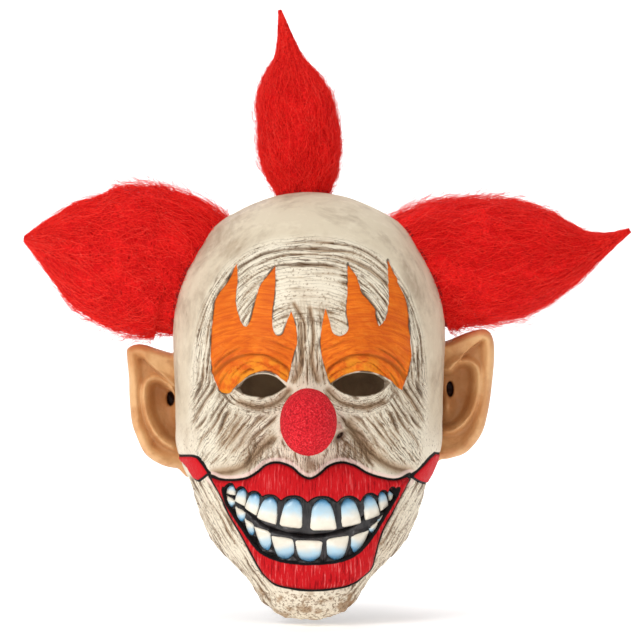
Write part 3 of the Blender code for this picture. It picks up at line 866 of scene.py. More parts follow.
CREAM = srgb(237, 226, 204)
CAP = srgb(217, 203, 178)
INK = srgb(48, 36, 29)
SEPIA = srgb(112, 84, 58)
BROWN = srgb(158, 124, 88)
BLACK = srgb(28, 25, 25)
ORANGE = srgb(240, 122, 28)
DEEP_ORANGE = srgb(196, 78, 18)
PALE_ORANGE = srgb(250, 160, 60)
LIP_RED = srgb(198, 26, 32)
LIP_DARK = srgb(112, 8, 16)
LIP_PALE = srgb(238, 122, 120)
STRIP_RED = srgb(204, 22, 32)
# Each family of wrinkles: the width and the length of its ink strokes, in mm.
INK_LINES = (
    ("arch", 2.1, 18), ("furrow", 2.0, 12), ("bags", 1.5, 9), ("cheek", 1.7, 7), ("lip", 1.3, 4), ("jaw",
        1.9, 8),
)


class SkinGraph(Graph):
    """The graph of the painted skin, with the fields that its layers share."""

    def __init__(self):
        super().__init__("painted_latex")
        self.spot = self.place()
        self.cloud = self.noise(self.spot, 34, 4.0, 0.6)
        self.mottle = self.noise(self.spot, 140, 4.0, 0.6)
        self.pebbles = self.noise(self.spot, 560, 3.0, 0.6)
        self.bare = self.minus(1.0, self.value("cap"))


def fold_lines(g, name, width, length):
    """Thin ink lines along one family of wrinkles, broken into strokes."""
    across = g.over(g.value(name + "_s"), width)
    along = g.over(g.value(name + "_t"), length)
    bend = g.noise(g.combine(g.times(across, 0.4), along), 1.0, 2.0, 0.6)
    place = g.plus(across, g.times(bend, 2.6))
    cell = g.math("FLOOR", place)
    part = g.math("PINGPONG", place, 0.5)
    strength = g.noise(g.combine(g.times(cell, 7.31), g.times(along, 2.2)), 1.0, 2.0, 0.6)
    return g.times(g.ramp(part, 0.20, 0.04), g.ramp(strength, 0.36, 0.54), g.value(name + "_m"))


def ink_lines(g):
    """The lines of every family of wrinkles, stronger and weaker from place to place."""
    lines = 0.0
    for name, width, length in INK_LINES:
        lines = g.larger(fold_lines(g, name, width, length), lines)
    patchy = g.ramp(g.noise(g.spot, 75, 3.0, 0.6), 0.42, 0.62)
    return g.times(lines, g.plus(g.times(patchy, 0.6), 0.4))


def aged_cream(g, lines):
    """The skin's cream: a smoky cap, a speckled face, a brown wash in the fold lines, and brown painted shade
    beside and in the folds.
    """
    cap = g.value("cap")
    skin = g.mix(cap, CREAM, CAP)
    skin = g.mix(g.ramp(g.cloud, 0.48, 0.78, 0.0, 0.36), skin, BROWN)
    smoke = g.ramp(g.noise(g.spot, 26, 5.0, 0.65, 0.5), 0.45, 0.74)
    skin = g.mix(g.times(smoke, cap, 0.72), skin, srgb(146, 122, 100))
    skin = g.mix(g.times(g.ramp(g.mottle, 0.50, 0.72), cap, 0.32), skin, srgb(236, 224, 200))
    speckle = g.times(g.ramp(g.pebbles, 0.55, 0.66), g.ramp(g.mottle, 0.42, 0.60, 0.25, 1.0))
    skin = g.mix(g.times(speckle, g.bare, 0.60), skin, srgb(132, 102, 72))
    wash = g.plus(g.value("wash"), g.swing(g.mottle, 0.5))
    # Brown painted shade beside the wrinkles and along the deep folds, made uneven by the cloud noise.
    tone = g.plus(g.value("tone"), g.swing(g.cloud, 0.7))
    skin = g.mix(g.times(g.ramp(tone, 0.05, 0.85), g.bare, 0.80), skin, BROWN)
    skin = g.mix(g.times(g.ramp(wash, 0.15, 0.75), g.bare, 0.70), skin, SEPIA)
    skin = g.mix(g.times(g.ramp(wash, 0.60, 1.00), 0.55), skin, INK)
    return g.mix(g.times(lines, 0.86), skin, srgb(92, 66, 44))


def stained(g, skin):
    """Darker brown under the nose ball, brown stains on the chin, and painted shade in and round the nostril.
    """
    across = g.minus(g.value("front_x"), 1.0)
    up = g.times(g.plus(g.value("front_z"), 43.0), 0.8)
    away = g.math("SQRT", g.plus(g.times(across, across), g.times(up, up)))
    # Darker brown just under the nose ball.
    under_nose = g.ramp(g.plus(away, g.times(g.mottle, 5.0)), 8.5, 3.5, 0.0, 0.7)
    skin = g.mix(g.times(under_nose, g.bare), skin, srgb(120, 78, 38))
    chin = g.times(g.ramp(g.value("front_z"), -117, -123), g.bare)
    skin = g.mix(g.times(g.ramp(g.noise(g.spot, 95, 4.0, 0.6), 0.47, 0.62), chin, 0.8), skin, BROWN)
    skin = g.mix(g.times(g.ramp(g.pebbles, 0.50, 0.60), chin, 0.6), skin, srgb(120, 92, 64))
    # Painted shade: brown round the nostril and a near-black core where the recess is.
    nostril = g.value("nostril")
    skin = g.mix(g.times(g.ramp(nostril, 4.4, 1.6, 0.0, 0.7), g.bare), skin, SEPIA)
    return g.mix(g.times(g.ramp(nostril, 1.7, 0.9), g.bare), skin, srgb(52, 32, 24))


def flame_paint(g, skin, lid_wave):
    """The orange flames round the eyes, yellower on the lids and darker in the lid folds with their wash and
    painted shade, with a broken dark border.
    """
    orange = g.mix(g.ramp(lid_wave, 0.36, 0.60, 0.75, 0.0), ORANGE, srgb(206, 88, 22))
    orange = g.mix(g.ramp(lid_wave, 0.54, 0.74, 0.0, 0.42), orange, PALE_ORANGE)
    orange = g.mix(g.ramp(g.cloud, 0.35, 0.65, 0.45, 0.0), orange, DEEP_ORANGE)
    yellow = g.times(g.ramp(g.value("lid"), 24, 15), g.ramp(g.mottle, 0.40, 0.60))
    orange = g.mix(yellow, orange, srgb(232, 142, 34))
    # Darker orange in the lid folds: wash lines plus painted shade beside them and in the lid crease.
    orange = g.mix(g.ramp(g.value("lid_wash_and_shade"), 0.2, 1.0, 0.0, 0.75), orange, srgb(150, 74, 14))
    flame = g.plus(g.value("blaze"), g.swing(g.mottle, 1.0))
    skin = g.mix(g.ramp(flame, -0.15, 0.15), skin, orange)
    broken = g.ramp(g.noise(g.spot, 110, 2.0), 0.40, 0.62, 0.15, 0.85)
    return g.mix(g.times(g.border(flame, 0.15, 0.75, 0.25), broken), skin, srgb(60, 42, 28))


def lip_paint(g, skin, groove):
    """The red lips and side strips with their black outlines, and the rims of the mouth and the eye holes."""
    lips, strip, height = g.value("lips"), g.value("strip"), g.value("front_z")
    red = g.mix(g.ramp(groove, 0.34, 0.46, 0.35, 1.0), LIP_DARK, LIP_RED)
    low_lip = g.ramp(height, -92, -104, 0.35, 0.75)
    dry = g.times(g.ramp(groove, 0.54, 0.66), low_lip, g.ramp(g.mottle, 0.35, 0.6, 0.4, 1.0))
    red = g.mix(dry, red, LIP_PALE)
    red = g.mix(g.ramp(lips, 2.6, 0.6, 0.0, 0.55), red, LIP_DARK)
    skin = g.mix(g.ramp(lips, -0.15, 0.15), skin, red)
    pale_rim = g.times(g.ramp(lips, -3.6, -2.2), g.ramp(lips, -0.6, -1.4), g.ramp(height, -60, -54), 0.7)
    skin = g.mix(pale_rim, skin, srgb(238, 206, 196))
    skin = g.mix(g.border(lips, 0.1, 0.95, 0.55), skin, BLACK)
    skin = g.mix(g.ramp(strip, -0.2, 0.2), skin, STRIP_RED)
    skin = g.mix(g.border(strip, 0.3, 0.95, 0.5), skin, BLACK)
    skin = g.mix(g.ramp(g.value("mouth"), -0.9, -0.4), skin, BLACK)
    return g.mix(g.ramp(g.value("eyes"), -0.9, -0.3, 0.0, 0.8), skin, srgb(104, 84, 60))


def latex_skin():
    g = SkinGraph()
    lips, blaze = g.value("lips"), g.value("blaze")
    red = g.larger(lips, g.value("strip"))
    grain = g.noise(g.spot, 620, 3.0, 0.6)
    lid_wave = g.drawn_noise("lid", 2.2, "lid_turn", 7.0, 1.2)
    groove = g.drawn_noise("front_x", 1.15, "front_z", 12.0, 0.25)
    lines = ink_lines(g)
    skin = stained(g, aged_cream(g, lines))
    skin = lip_paint(g, flame_paint(g, skin, lid_wave), groove)
    painted = g.larger(g.ramp(blaze, -0.5, 0.5), g.ramp(red, -0.8, 0.2))
    shine = g.minus(g.ramp(grain, 0.2, 0.8, 0.52, 0.68), g.times(painted, 0.08))
    height = g.plus(
        g.times(lines, -0.55),
        g.times(grain, 0.16),
        g.times(g.pebbles, g.bare, 0.35),
        g.times(g.mottle, 0.5),
        g.times(groove, g.ramp(lips, 0.0, 1.0), 0.8),
        g.times(lid_wave, g.ramp(blaze, 0.0, 1.0), 0.9),
    )
    gleam = g.ramp(red, -0.5, 0.5, 0.12, 0.04)
    return g.finish(skin, shine, g.bump(height, 0.0006), Specular_IOR_Level=gleam)


def raw_latex_shade_darkened():
    # Raw latex inside the mask, darkened below its real cream: painted shade for the inside seen through the
    # eye holes.
    g = Graph("raw_latex_shade_darkened")
    place = g.place()
    colour = g.mix(g.ramp(g.noise(place, 40, 4.0), 0.35, 0.7), srgb(150, 130, 98), srgb(118, 98, 72))
    return g.finish(colour, 0.7, g.bump(g.noise(place, 500, 3.0), 0.0003))


def tooth_paint():
    g = Graph("tooth_paint")
    cloud = g.noise(g.place(), 160, 3.0)
    root = g.plus(g.value("root"), g.swing(cloud, 0.3))
    colour = g.mix(g.ramp(root, 0.30, 0.66), srgb(243, 241, 228), srgb(186, 220, 236))
    colour = g.mix(g.ramp(root, 0.62, 1.0), colour, srgb(92, 166, 212))
    colour = g.mix(g.ramp(root, 0.42, 0.18, 0.0, 0.30), colour, srgb(248, 226, 190))
    colour = g.mix(g.ramp(cloud, 0.40, 0.70, 0.12, 0.0), colour, SEPIA)
    colour = g.mix(g.ramp(g.value("rim"), 0.955, 0.995), colour, BLACK)
    return g.finish(colour, 0.30, g.bump(cloud, 0.0005), Coat_Weight=0.30, Coat_Roughness=0.18)


def gum_paint():
    g = Graph("gum_paint")
    place = g.place()
    cloud = g.noise(place, 120, 3.0)
    colour = g.mix(g.ramp(cloud, 0.35, 0.7), srgb(24, 22, 23), srgb(58, 54, 54))
    return g.finish(colour, 0.38, g.bump(cloud, 0.0008))


def ear_latex():
    g = Graph("ear_latex")
    place = g.place()
    cloud = g.noise(place, 48, 4.0, 0.6)
    colour = g.mix(g.ramp(cloud, 0.36, 0.66), srgb(226, 176, 122), srgb(206, 146, 92))
    # Painted shade in the ear's hollows and a near-black ear hole.
    colour = g.mix(g.ramp(g.value("hollow"), 0.15, 1.0, 0.0, 0.60), colour, srgb(168, 104, 52))
    colour = g.mix(g.ramp(g.noise(place, 190, 4.0, 0.65), 0.58, 0.74, 0.0, 0.3), colour, srgb(164, 104, 58))
    colour = g.mix(g.ramp(g.value("canal_shade"), 0.35, 0.75), colour, srgb(48, 18, 8))
    grain = g.noise(place, 520, 3.0)
    return g.finish(colour, g.ramp(grain, 0.2, 0.8, 0.42, 0.6), g.bump(grain, 0.0003), Specular_IOR_Level=0.4)


def red_foam():
    g = Graph("red_foam")
    place = g.place()
    cells = g.noise(place, 900, 2.0, 0.6)
    cloud = g.noise(place, 60, 3.0)
    colour = g.mix(g.ramp(cells, 0.34, 0.58), srgb(170, 12, 24), srgb(232, 34, 46))
    colour = g.mix(g.ramp(cells, 0.58, 0.72, 0.0, 0.45), colour, srgb(246, 112, 112))
    colour = g.mix(g.ramp(cloud, 0.35, 0.75, 0.25, 0.0), colour, srgb(160, 8, 22))
    return g.finish(colour, 0.85, g.bump(cells, 0.0008), Specular_IOR_Level=0.25)


def hair_fibre(name, dark, light):
    g = Graph(name)
    place = g.place()
    frizz = g.noise(place, 620, 4.0, 0.7, 1.4)
    tone = g.plus(g.value("shade"), g.swing(g.noise(place, 90, 3.0), 0.5), g.swing(frizz, 2.2))
    colour = g.mix(g.ramp(tone, 0.10, 0.90), dark, light)
    # Painted highlight: pale pink on the lightest strands.
    colour = g.mix(g.ramp(tone, 0.85, 1.35, 0.0, 0.45), colour, srgb(255, 128, 108))
    # A faint red glow: painted light that lifts the shade inside the hair.
    painted_glow = {"Emission_Color": (0.80, 0.010, 0.008, 1), "Emission_Strength": 0.13}
    return g.finish(colour, 0.6, g.bump(frizz, 0.0006), Specular_IOR_Level=0.15, **painted_glow)


def woven_gauze(name, thread, shaded_gap):
    g = Graph(name)
    place = g.place()
    waves = []
    for direction in "XZ":
        wave = g.node("ShaderNodeTexWave", bands_direction=direction)
        g.plug_all(wave, Vector=place, Scale=340.0, Distortion=1.2)
        waves.append(wave.outputs["Fac"])
    weave = g.times(*waves)
    # The gaps between the threads take a darker copy of the thread's colour: painted shade in the weave.
    return g.finish(g.mix(weave, shaded_gap, thread), 0.92, g.bump(weave, 0.0004))


def floor_paint():
    """A pale floor and backdrop, seen from its front only, so that it hides nothing from behind or below."""
    g = Graph("pale_floor")
    place = g.place()
    colour = g.mix(g.noise(place, 3.0, 2.0), srgb(247, 247, 247), srgb(250, 250, 250))
    g.plug_all(g.shader, Base_Color=colour, Roughness=0.9, Emission_Color=(1, 1, 1, 1),
        Emission_Strength=0.35)
    see_through = g.node("ShaderNodeMixShader")
    g.plug(see_through.inputs[0], g.node("ShaderNodeNewGeometry").outputs["Backfacing"])
    g.plug(see_through.inputs[1], g.shader.outputs["BSDF"])
    g.plug(see_through.inputs[2], g.node("ShaderNodeBsdfTransparent").outputs["BSDF"])
    g.plug(g.nodes["Material Output"].inputs["Surface"], see_through.outputs["Shader"])
    return g.material


# ---------------------------------------------------------------- pieces of the skin


def edge_cuts(sheet):
    """Values above 0 below the skin's lower edge."""
    x, y, z = sheet.plain.T / MM
    azimuth = np.degrees(abs(np.arctan2(x, -y)))
    below = -np.degrees(np.arctan2(z, np.hypot(x, y))) - hermite(azimuth, *zip(*LOWER_EDGE))
    return below * 1.8


def slit_cut(sheet):
    """Values above 0 in the slit up the back."""
    x, y, z = sheet.plain.T / MM
    return np.minimum(0.6 - abs(x), np.minimum(SLIT_TOP_Z - z, y - 20))


def above_jaw(sheet):
    """Positive above the jaw's border in the side view, and behind the jaw's rear end."""
    _, y, z = sheet.plain.T / MM
    border = hermite(y, *zip(*JAW_BORDER))
    return np.maximum(z - border, y + 4.0)


def skin_piece(name, node, outer, inner, paints):
    whole = join_walls(outer, inner)
    obj = sheet_object(name, whole)
    for paint in paints:
        obj.data.materials.append(paint)
    slots = np.zeros(len(obj.data.polygons), np.int32)
    slots[whole.inside_from:] = 1
    obj.data.polygons.foreach_set("material_index", slots)
    obj.data.set_sharp_from_angle(angle=math.radians(62))
    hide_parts(node)
    return obj


def make_skin():
    spacing = 0.45
    azimuths = spaced(((-180, 2.6), (-105, 1.4), (-62, spacing), (62, spacing), (105, 1.4), (180, 2.6)))[:-1]
    elevations = spaced(((-69, 0.6), (-60, spacing), (48, spacing), (62, 1.0), (89.5, 1.8)))[::-1]
    coarse_azimuths = spaced(((-180, 3.6), (-90, 2.2), (90, 2.2), (180, 3.6)))[:-1]
    coarse_elevations = spaced(((-69, 2.2), (50, 2.2), (89.5, 3.6)))[::-1]
    outer, inner = head_sheet(azimuths, elevations), head_sheet(coarse_azimuths, coarse_elevations)
    inner.rows[:, :3] -= inner.normals * WALL
    for sheet, ceiling in ((outer, CROWN_Z), (inner, CROWN_Z - WALL)):
        for cut in (edge_cuts, slit_cut, lambda sheet: sheet.value("eyes"),
            lambda sheet: sheet.value("mouth")):
            sheet.keep(cut(sheet))
        close_crown(sheet, ceiling)
    face, jaw = [outer.copy(), inner.copy()], [outer.copy(), inner.copy()]
    for sheet in face:
        sheet.keep(-above_jaw(sheet))
    for sheet in jaw:
        sheet.keep(above_jaw(sheet))
    paints = (latex_skin(), raw_latex_shade_darkened())
    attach(skin_piece("latex_face", "face_shell", *face, paints), "skull")
    jaw_obj = skin_piece("latex_jaw", "jaw_shell", *jaw, paints)
    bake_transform(jaw_obj)


def close_crown(sheet, ceiling):
    """Closes the small ring of points round the crown with a fan, and keeps it all below the ceiling."""
    sheet.rows[:, 2] = np.minimum(sheet.rows[:, 2], ceiling)
    top = np.flatnonzero(sheet.plain[:, 2] > CROWN_Z - 0.0009)
    loops = [loop for loop in border_loops(sheet.triangles) if set(loop) <= set(top.tolist())]
    for loop in loops:
        middle = sheet.rows[loop].mean(axis=0)
        sheet.rows = np.concatenate([sheet.rows, middle[None]])
        centre = len(sheet.rows) - 1
        fan = [(b, a, centre) for a, b in zip(loop, loop[1:] + loop[:1])]
        sheet.triangles = np.concatenate([sheet.triangles, np.array(fan)])


# ---------------------------------------------------------------- teeth

# How far a tooth's outline swells past its table, how high up it its middle is, and its two bulges in mm.
TOOTH_GROWTH = 0.55
TOOTH_MIDDLE = 0.42
FRONT_BULGE, BACK_BULGE = 2.2, 1.4
# The back edges of the bite stand this much higher than its front edges, in mm.
BITE_SLANT = 2.6


def tooth(root, left, right, half_root, depth):
    """One tooth as a closed pillow: a rounded root, straight sides and a flat cutting edge."""
    middle = (np.array(left) + np.array(right)) / 2
    up = np.array(root) - middle
    height = np.linalg.norm(up)
    up /= height
    across = np.array([up[1], -up[0]]) if up[1] > 0 else np.array([-up[1], up[0]])
    low_left, low_right = np.array(left) - middle, np.array(right) - middle
    corner = 0.16
    knots = [(*(low * (1 - corner) + up * 0.3), True) for low in (low_left, low_right)]
    knots += [
        tuple(low_right + up * height * corner * 0.6),
        tuple(low_right * 0.55 + across * half_root * 0.50 + up * height * 0.55),
        tuple(across * half_root + up * height * 0.83),
        tuple(up * height + across * 0.1),
        tuple(-across * half_root + up * height * 0.83),
        tuple(low_left * 0.55 - across * half_root * 0.50 + up * height * 0.55),
        tuple(low_left + up * height * corner * 0.6),
    ]
    outline = smooth_outline(knots, steps=6)
    centre = up * height * TOOTH_MIDDLE
    away = outline - centre
    outline = outline + away / np.linalg.norm(away, axis=1, keepdims=True) * TOOTH_GROWTH
    rings, turns = 9, len(outline)
    points, roots, rims = [], [], []
    for side, bulge in ((1, FRONT_BULGE), (-1, -BACK_BULGE)):
        for ring in range(1, rings + 1):
            share = ring / rings if side > 0 else 1 - ring / (rings + 1)
            place = centre + (outline - centre) * share
            lift = bulge * MM * math.sqrt(max(1 - share**3.0, 0))
            points.append(face_point(middle[0] + place[:, 0], middle[1] + place[:, 1], depth - lift))
            roots.append(place @ up / height)
            rims.append(np.full(turns, share if side > 0 else 1.0))
    spot = middle + centre
    points += [face_point(*spot, depth - FRONT_BULGE * MM), face_point(*spot, depth + BACK_BULGE * MM)]
    points = np.concatenate(points)
    index = np.arange(2 * rings * turns).reshape(2 * rings, turns)
    fans = []
    for p, q in zip(range(turns), [*range(1, turns), 0]):
        fans.append((len(points) - 2, index[0, q], index[0, p]))
        fans.append((len(points) - 1, index[-1, p], index[-1, q]))
    triangles = np.concatenate([grid_triangles(index, True), np.array(fans)])
    roots = np.concatenate(roots + [[TOOTH_MIDDLE] * 2])
    return points, outward_triangles(points, triangles), roots, np.concatenate(rims + [[0.0, 1.0]])


def outward_triangles(points, triangles):
    """The triangles, turned round if they enclose a negative volume."""
    a, b, c = points[triangles].transpose(1, 0, 2)
    volume = (np.cross(a, b) * c).sum()
    return triangles if volume > 0 else triangles[:, ::-1]


def bite_line(x):
    return hermite(abs(x), (0, 16, 28, 38, 48, 60), (-86, -84, -80, -73, -63, -53.5))


def bite_gap(x):
    return 0.35 + 0.6 * np.clip(1 - (x / 60) ** 2, 0, 1)


def tooth_reach(x, z, teeth):
    """About 1 at the outline of the nearest tooth, less inside it."""
    best = np.full(len(x), 9.0)
    for root, left, right, half_root in teeth:
        tip_x, tip_z = (left[0] + right[0]) / 2, (left[1] + right[1]) / 2
        half_x = (right[0] - left[0] + 2 * half_root) / 4
        half_z = abs(root[1] - tip_z) / 2
        rise = z - (root[1] + tip_z) / 2
        lean = (root[0] - tip_x) / (2 * half_z) * (1 if root[1] > left[1] else -1)
        offset = x - (root[0] + tip_x) / 2 - lean * rise
        best = np.minimum(best, np.maximum(abs(offset) / half_x, abs(rise) / half_z))
    return best


def gum_plate(name, teeth, upper):
    """The dark plate that carries a row of teeth, raised a little round each tooth."""
    columns, rows = 180, 40
    across = np.linspace(-59.5, 59.5, columns)
    if upper:
        top_edge = hermite(across, (-62, -50, 0, 50, 62), (-45, -50, -56, -50, -44))
        low_edge = bite_line(across) + bite_gap(across)
    else:
        top_edge = bite_line(across) - bite_gap(across)
        low_edge = np.interp(across, *smooth_outline(MOUTH_LOW, closed=False).T) - 7
    points = []
    for back in (False, True):
        for row in np.linspace(0, 1, rows):
            z = low_edge + (top_edge - low_edge) * row
            z = z + (BITE_SLANT * ((1 - row) if upper else row) if back else 0)
            raised = hump(tooth_reach(across, z, teeth), 1.16, 0.18)
            lumps = 0.35 * noise(across / 2.6, z / 2.6, 401) + 0.2 * noise(across / 1.2, z / 1.2, 402)
            rounded = 1.1 * (1 - np.clip(1 - np.minimum(row, 1 - row) * 12, 0, 1) ** 2) ** 0.5
            depth = np.full(columns, 8.8) if back else 5.2 - 1.0 * raised - rounded - lumps
            points.append(face_point(across, z, depth[:, None] * MM))
    points = np.concatenate(points)
    index = np.arange(2 * rows * columns).reshape(2, rows, columns)
    triangles = [grid_triangles(index[0], False), grid_triangles(index[1], False)[:, ::-1]]
    border = [(0, i) for i in range(columns)] + [(j, columns - 1) for j in range(1, rows)]
    border += [(rows - 1, i) for i in range(columns - 2, -1, -1)] + [(j, 0) for j in range(rows - 2, 0, -1)]
    rim = []
    for (j, i), (k, m) in zip(border, border[1:] + border[:1]):
        rim.append((index[0, j, i], index[1, j, i], index[1, k, m]))
        rim.append((index[0, j, i], index[1, k, m], index[0, k, m]))
    obj = mesh_object(name, points, outward_triangles(points, np.concatenate([*triangles, np.array(rim)])))
    obj.data.set_sharp_from_angle(angle=math.radians(50))
    return obj


def teeth_row(name, teeth, paint):
    made = [tooth(*features, 4.0 * MM) for features in teeth]
    shifts = np.cumsum([0] + [len(points) for points, _, _, _ in made])
    points, _, roots, rims = (np.concatenate(parts) for parts in zip(*made))
    obj = mesh_object(name, points, np.concatenate([sides + shift for (_, sides, _, _),
        shift in zip(made, shifts)]))
    add_value(obj, "root", roots)
    add_value(obj, "rim", rims)
    obj.data.materials.append(paint)
    return obj


def spread(place):
    """The place moved outwards a little, the more the nearer it is to a corner of the mouth."""
    return place[0] * (1 + abs(place[0]) / 1040), place[1]


def make_teeth():
    enamel, gum = tooth_paint(), gum_paint()
    for name, table, body in (("upper", UPPER_TEETH, "skull"), ("lower", LOWER_TEETH, "jaw")):
        teeth = [(spread(root), spread(left), spread(right), half_root) for root, left, right,
            half_root in table]
        row = teeth_row(name + "_tooth_row", teeth, enamel)
        plate = gum_plate(name + "_gum_plate", teeth, name == "upper")
        plate.data.materials.append(gum)
        for piece in (row, plate):
            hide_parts(name + "_teeth")
            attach(piece, body)


# ---------------------------------------------------------------- ears

# Each ear in mm in the front view: outline, ridge round the bowl, fold that crosses the top, hole and tragus.
EARS = {
    "left": {
        "outline": ((-76, 21), (-89, 24), (-98, 26.7), (-105, 29), (-111, 29.3), (-116.3, 26.5),
            (-116.5, 20), (-115.4, 8),
                    (-115, -5), (-113.6, -20), (-110.6, -29.5), (-105, -41), (-95, -48), (-85,
                        -50.5), (-76, -51)),
        "ridge": ((-85, -1), (-90, 4.5), (-97, 8), (-103, 6.5), (-105.5, 0), (-105, -9), (-103, -18),
            (-98.5, -27), (-92, -34), (-84, -38)),
        "fold": ((-106, 20.5), (-99, 13.5), (-91, 7), (-84, 0)),
        "hole": (-89.2, -5.5, 2.4, 4.6),
        "tragus": (-83.5, -13, 4.0, 7.5),
    },
    "right": {
        "outline": ((76, 28), (88, 31.5), (99, 36), (107, 38.6), (113.5, 38.8), (117.6, 33.5), (118.6, 22),
            (117, 3),
                    (114.6, -13.5), (110.5, -28), (101.5, -39.5), (92, -43.5), (85, -44.8), (76, -45)),
        "ridge": ((90, 14), (95, 18.5), (102, 19), (107, 15.5), (108.5, 8), (107.5, -3), (104.5, -13),
            (99, -21), (92, -26), (84, -27)),
        "fold": ((110, 32), (103, 26.5), (96, 19), (89, 9)),
        "hole": (90.8, 0.5, 2.2, 4.8),
        "tragus": (88.5, -10, 4.4, 8.5),
    },
}
EAR_Y = 12.0
EAR_LEAN = 0.35
EAR_HALF = 5.5


def ear(name, features, latex):
    """An ear as a carved plate: rolled rim, fold with a hollow, ridge round a deep bowl, hole and tragus."""
    outline = smooth_outline(features["outline"])
    ridge = smooth_outline(features["ridge"], closed=False)
    fold = smooth_outline(features["fold"], closed=False)
    step = 0.6
    low, high = outline.min(axis=0) - 1, outline.max(axis=0) + 1
    across, up = np.arange(low[0], high[0], step), np.arange(low[1], high[1], step)
    grid_x, grid_z = (g.ravel() for g in np.meshgrid(across, up))
    index = np.arange(len(grid_x)).reshape(len(up), len(across))
    a, b, c, d = (part.ravel() for part in (index[:-1, :-1], index[:-1, 1:], index[1:, 1:], index[1:, :-1]))
    triangles = np.concatenate([np.stack([a, b, c], axis=1), np.stack([a, c, d], axis=1)])
    flat = np.stack([grid_x, np.zeros(len(grid_x)), grid_z], axis=1)
    sheet = Sheet(flat, flat, flat, {"depth": depth_inside(grid_x, grid_z, outline)}, triangles)
    sheet.keep(-sheet.value("depth"))
    head_side = section_sizes(sheet.points[:, 2] * MM)[0] / MM - 1.4
    sheet.keep(head_side - abs(sheet.points[:, 0]))

    x, _, z = sheet.points.T
    depth = np.maximum(depth_inside(x, z, outline), 0)
    to_ridge = distance_to_line(x, z, ridge, False)
    bowl_line = np.concatenate([ridge, [[np.sign(x[0]) * 76, ridge[-1, 1]], [np.sign(x[0]) * 76,
        ridge[0, 1]]]])
    bowl = depth_inside(x, z, bowl_line)
    side = abs(x)
    fold_z = np.interp(side, np.sort(abs(fold[:, 0])), fold[np.argsort(abs(fold[:, 0])), 1])
    over_fold = ramp(z - fold_z, -0.8, 1.2) * ramp(side, abs(fold[:, 0]).max() + 7, abs(fold[:, 0]).max() - 3)
    lobe = ramp(z, ridge[-1, 1] + 2, ridge[-1, 1] - 8)

    front = 0.5 + 2.6 * hump(depth, 4.0, 3.6) * (1 - 0.6 * lobe)
    hollow = ramp(bowl, 0.5, -3) * ramp(depth, 5, 9) * (1 - over_fold) * (1 - 0.65 * lobe)
    front -= 3.2 * hollow
    front += 3.2 * over_fold * ramp(bowl, 4, -1)
    front += 3.4 * np.exp(-((to_ridge / 2.7) ** 2)) * ramp(side, 84, 88)
    front -= 8.5 * ramp(bowl, 0.6, 6.5)
    front += 1.6 * hump(x, features["outline"][0][0] * 1.28, 7) * lobe
    centre_x, centre_z, half_x, half_z = features["tragus"]
    bump = np.exp(-(((x - centre_x) / half_x) ** 2) - ((z - centre_z) / half_z) ** 2)
    front += 9.0 * bump * ramp(bowl, -1, 3)
    hole_x, hole_z, half_x, half_z = features["hole"]
    to_hole = np.sqrt(((x - hole_x) / half_x) ** 2 + ((z - hole_z) / half_z) ** 2)
    front -= 6.0 * ramp(to_hole, 1.25, 0.75)
    front += 0.5 * noise(x / 6, z / 7, 301) + 0.25 * noise(x / 2.4, z / 2.4, 302)
    rim = np.sqrt(np.clip(1 - (1 - np.minimum(depth / 4.5, 1)) ** 2, 0, 1))
    plane = EAR_Y - EAR_LEAN * (side - 85)
    front_y = plane - (EAR_HALF + front) * rim
    back_y = plane + (EAR_HALF + 0.6 * noise(x / 8, z / 8, 303) + 2.5 * ramp(bowl, -2, 7)) * rim
    back_y = np.maximum(back_y, front_y + 2.4 * rim)

    count = len(x)
    joined = depth < 0.02
    back_index = np.where(joined, np.arange(count), np.arange(count) + count)
    points = np.concatenate([np.stack([x, front_y, z], axis=1), np.stack([x, back_y, z], axis=1)]) * MM
    faces = [sheet.triangles, back_index[sheet.triangles][:, ::-1]]
    walls = []
    for loop in border_loops(sheet.triangles):
        for p, q in zip(loop, loop[1:] + loop[:1]):
            if back_index[p] != p:
                walls.append((p, back_index[p], q))
            if back_index[q] != q:
                walls.append((back_index[p], back_index[q], q))
    obj = mesh_object(name, points, np.concatenate(faces + [np.array(walls)]))
    # Painted shade: the bowl, the hollow under the fold and the groove beside the ridge are darkened, and the
    # ear hole is painted near black.
    dark = np.maximum.reduce([ramp(bowl, 0.5, 5), 0.75 * hollow, 0.55 * hump(to_ridge, 4.2, 1.4)])
    for key, value in (("hollow", dark), ("canal_shade", ramp(to_hole, 1.3, 0.8))):
        add_value(obj, key, np.concatenate([value, np.zeros(count)]))
    obj.data.materials.append(latex)
    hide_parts(name.replace("_carved", ""))
    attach(obj, "skull")


def make_ears():
    latex = ear_latex()
    for side, features in EARS.items():
        ear(side + "_ear_carved", features, latex)


# ---------------------------------------------------------------- foam nose

NOSE_CENTRE = (0.0, -0.1175, -0.0165)
NOSE_RADII = (0.0172, 0.0186, 0.0204)


def make_nose():
    """A ball of open-cell foam: pitted, a little uneven, and flat where it is bonded on."""
    bm = bmesh.new()
    bmesh.ops.create_icosphere(bm, subdivisions=7, radius=1.0)
    out = np.array([v.co for v in bm.verts])
    pits = np.array([mathutils.noise.noise(v.co * 26) for v in bm.verts])
    cells = np.array([mathutils.noise.noise(v.co * 58) for v in bm.verts])
    swell = np.array([mathutils.noise.noise(v.co * 2.2) for v in bm.verts])
    scale = 1 + 0.014 * swell - 0.011 * np.maximum(pits, 0) - 0.009 * np.abs(cells)
    points = np.array(NOSE_CENTRE) + out * np.array(NOSE_RADII) * scale[:, None]
    seat = face_point(points[:, 0] / MM, points[:, 2] / MM, -0.8 * MM)[:, 1]
    points[:, 1] = np.minimum(points[:, 1], seat)
    for vertex, point in zip(bm.verts, points):
        vertex.co = point
    mesh = bpy.data.meshes.new("foam_ball_nose")
    bm.to_mesh(mesh)
    bm.free()
    mesh.shade_smooth()
    obj = bpy.data.objects.new("foam_ball_nose", mesh)
    bpy.context.scene.collection.objects.link(obj)
    obj.data.materials.append(red_foam())
    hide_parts("foam_nose")
    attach(obj, "skull")


# ---------------------------------------------------------------- hair

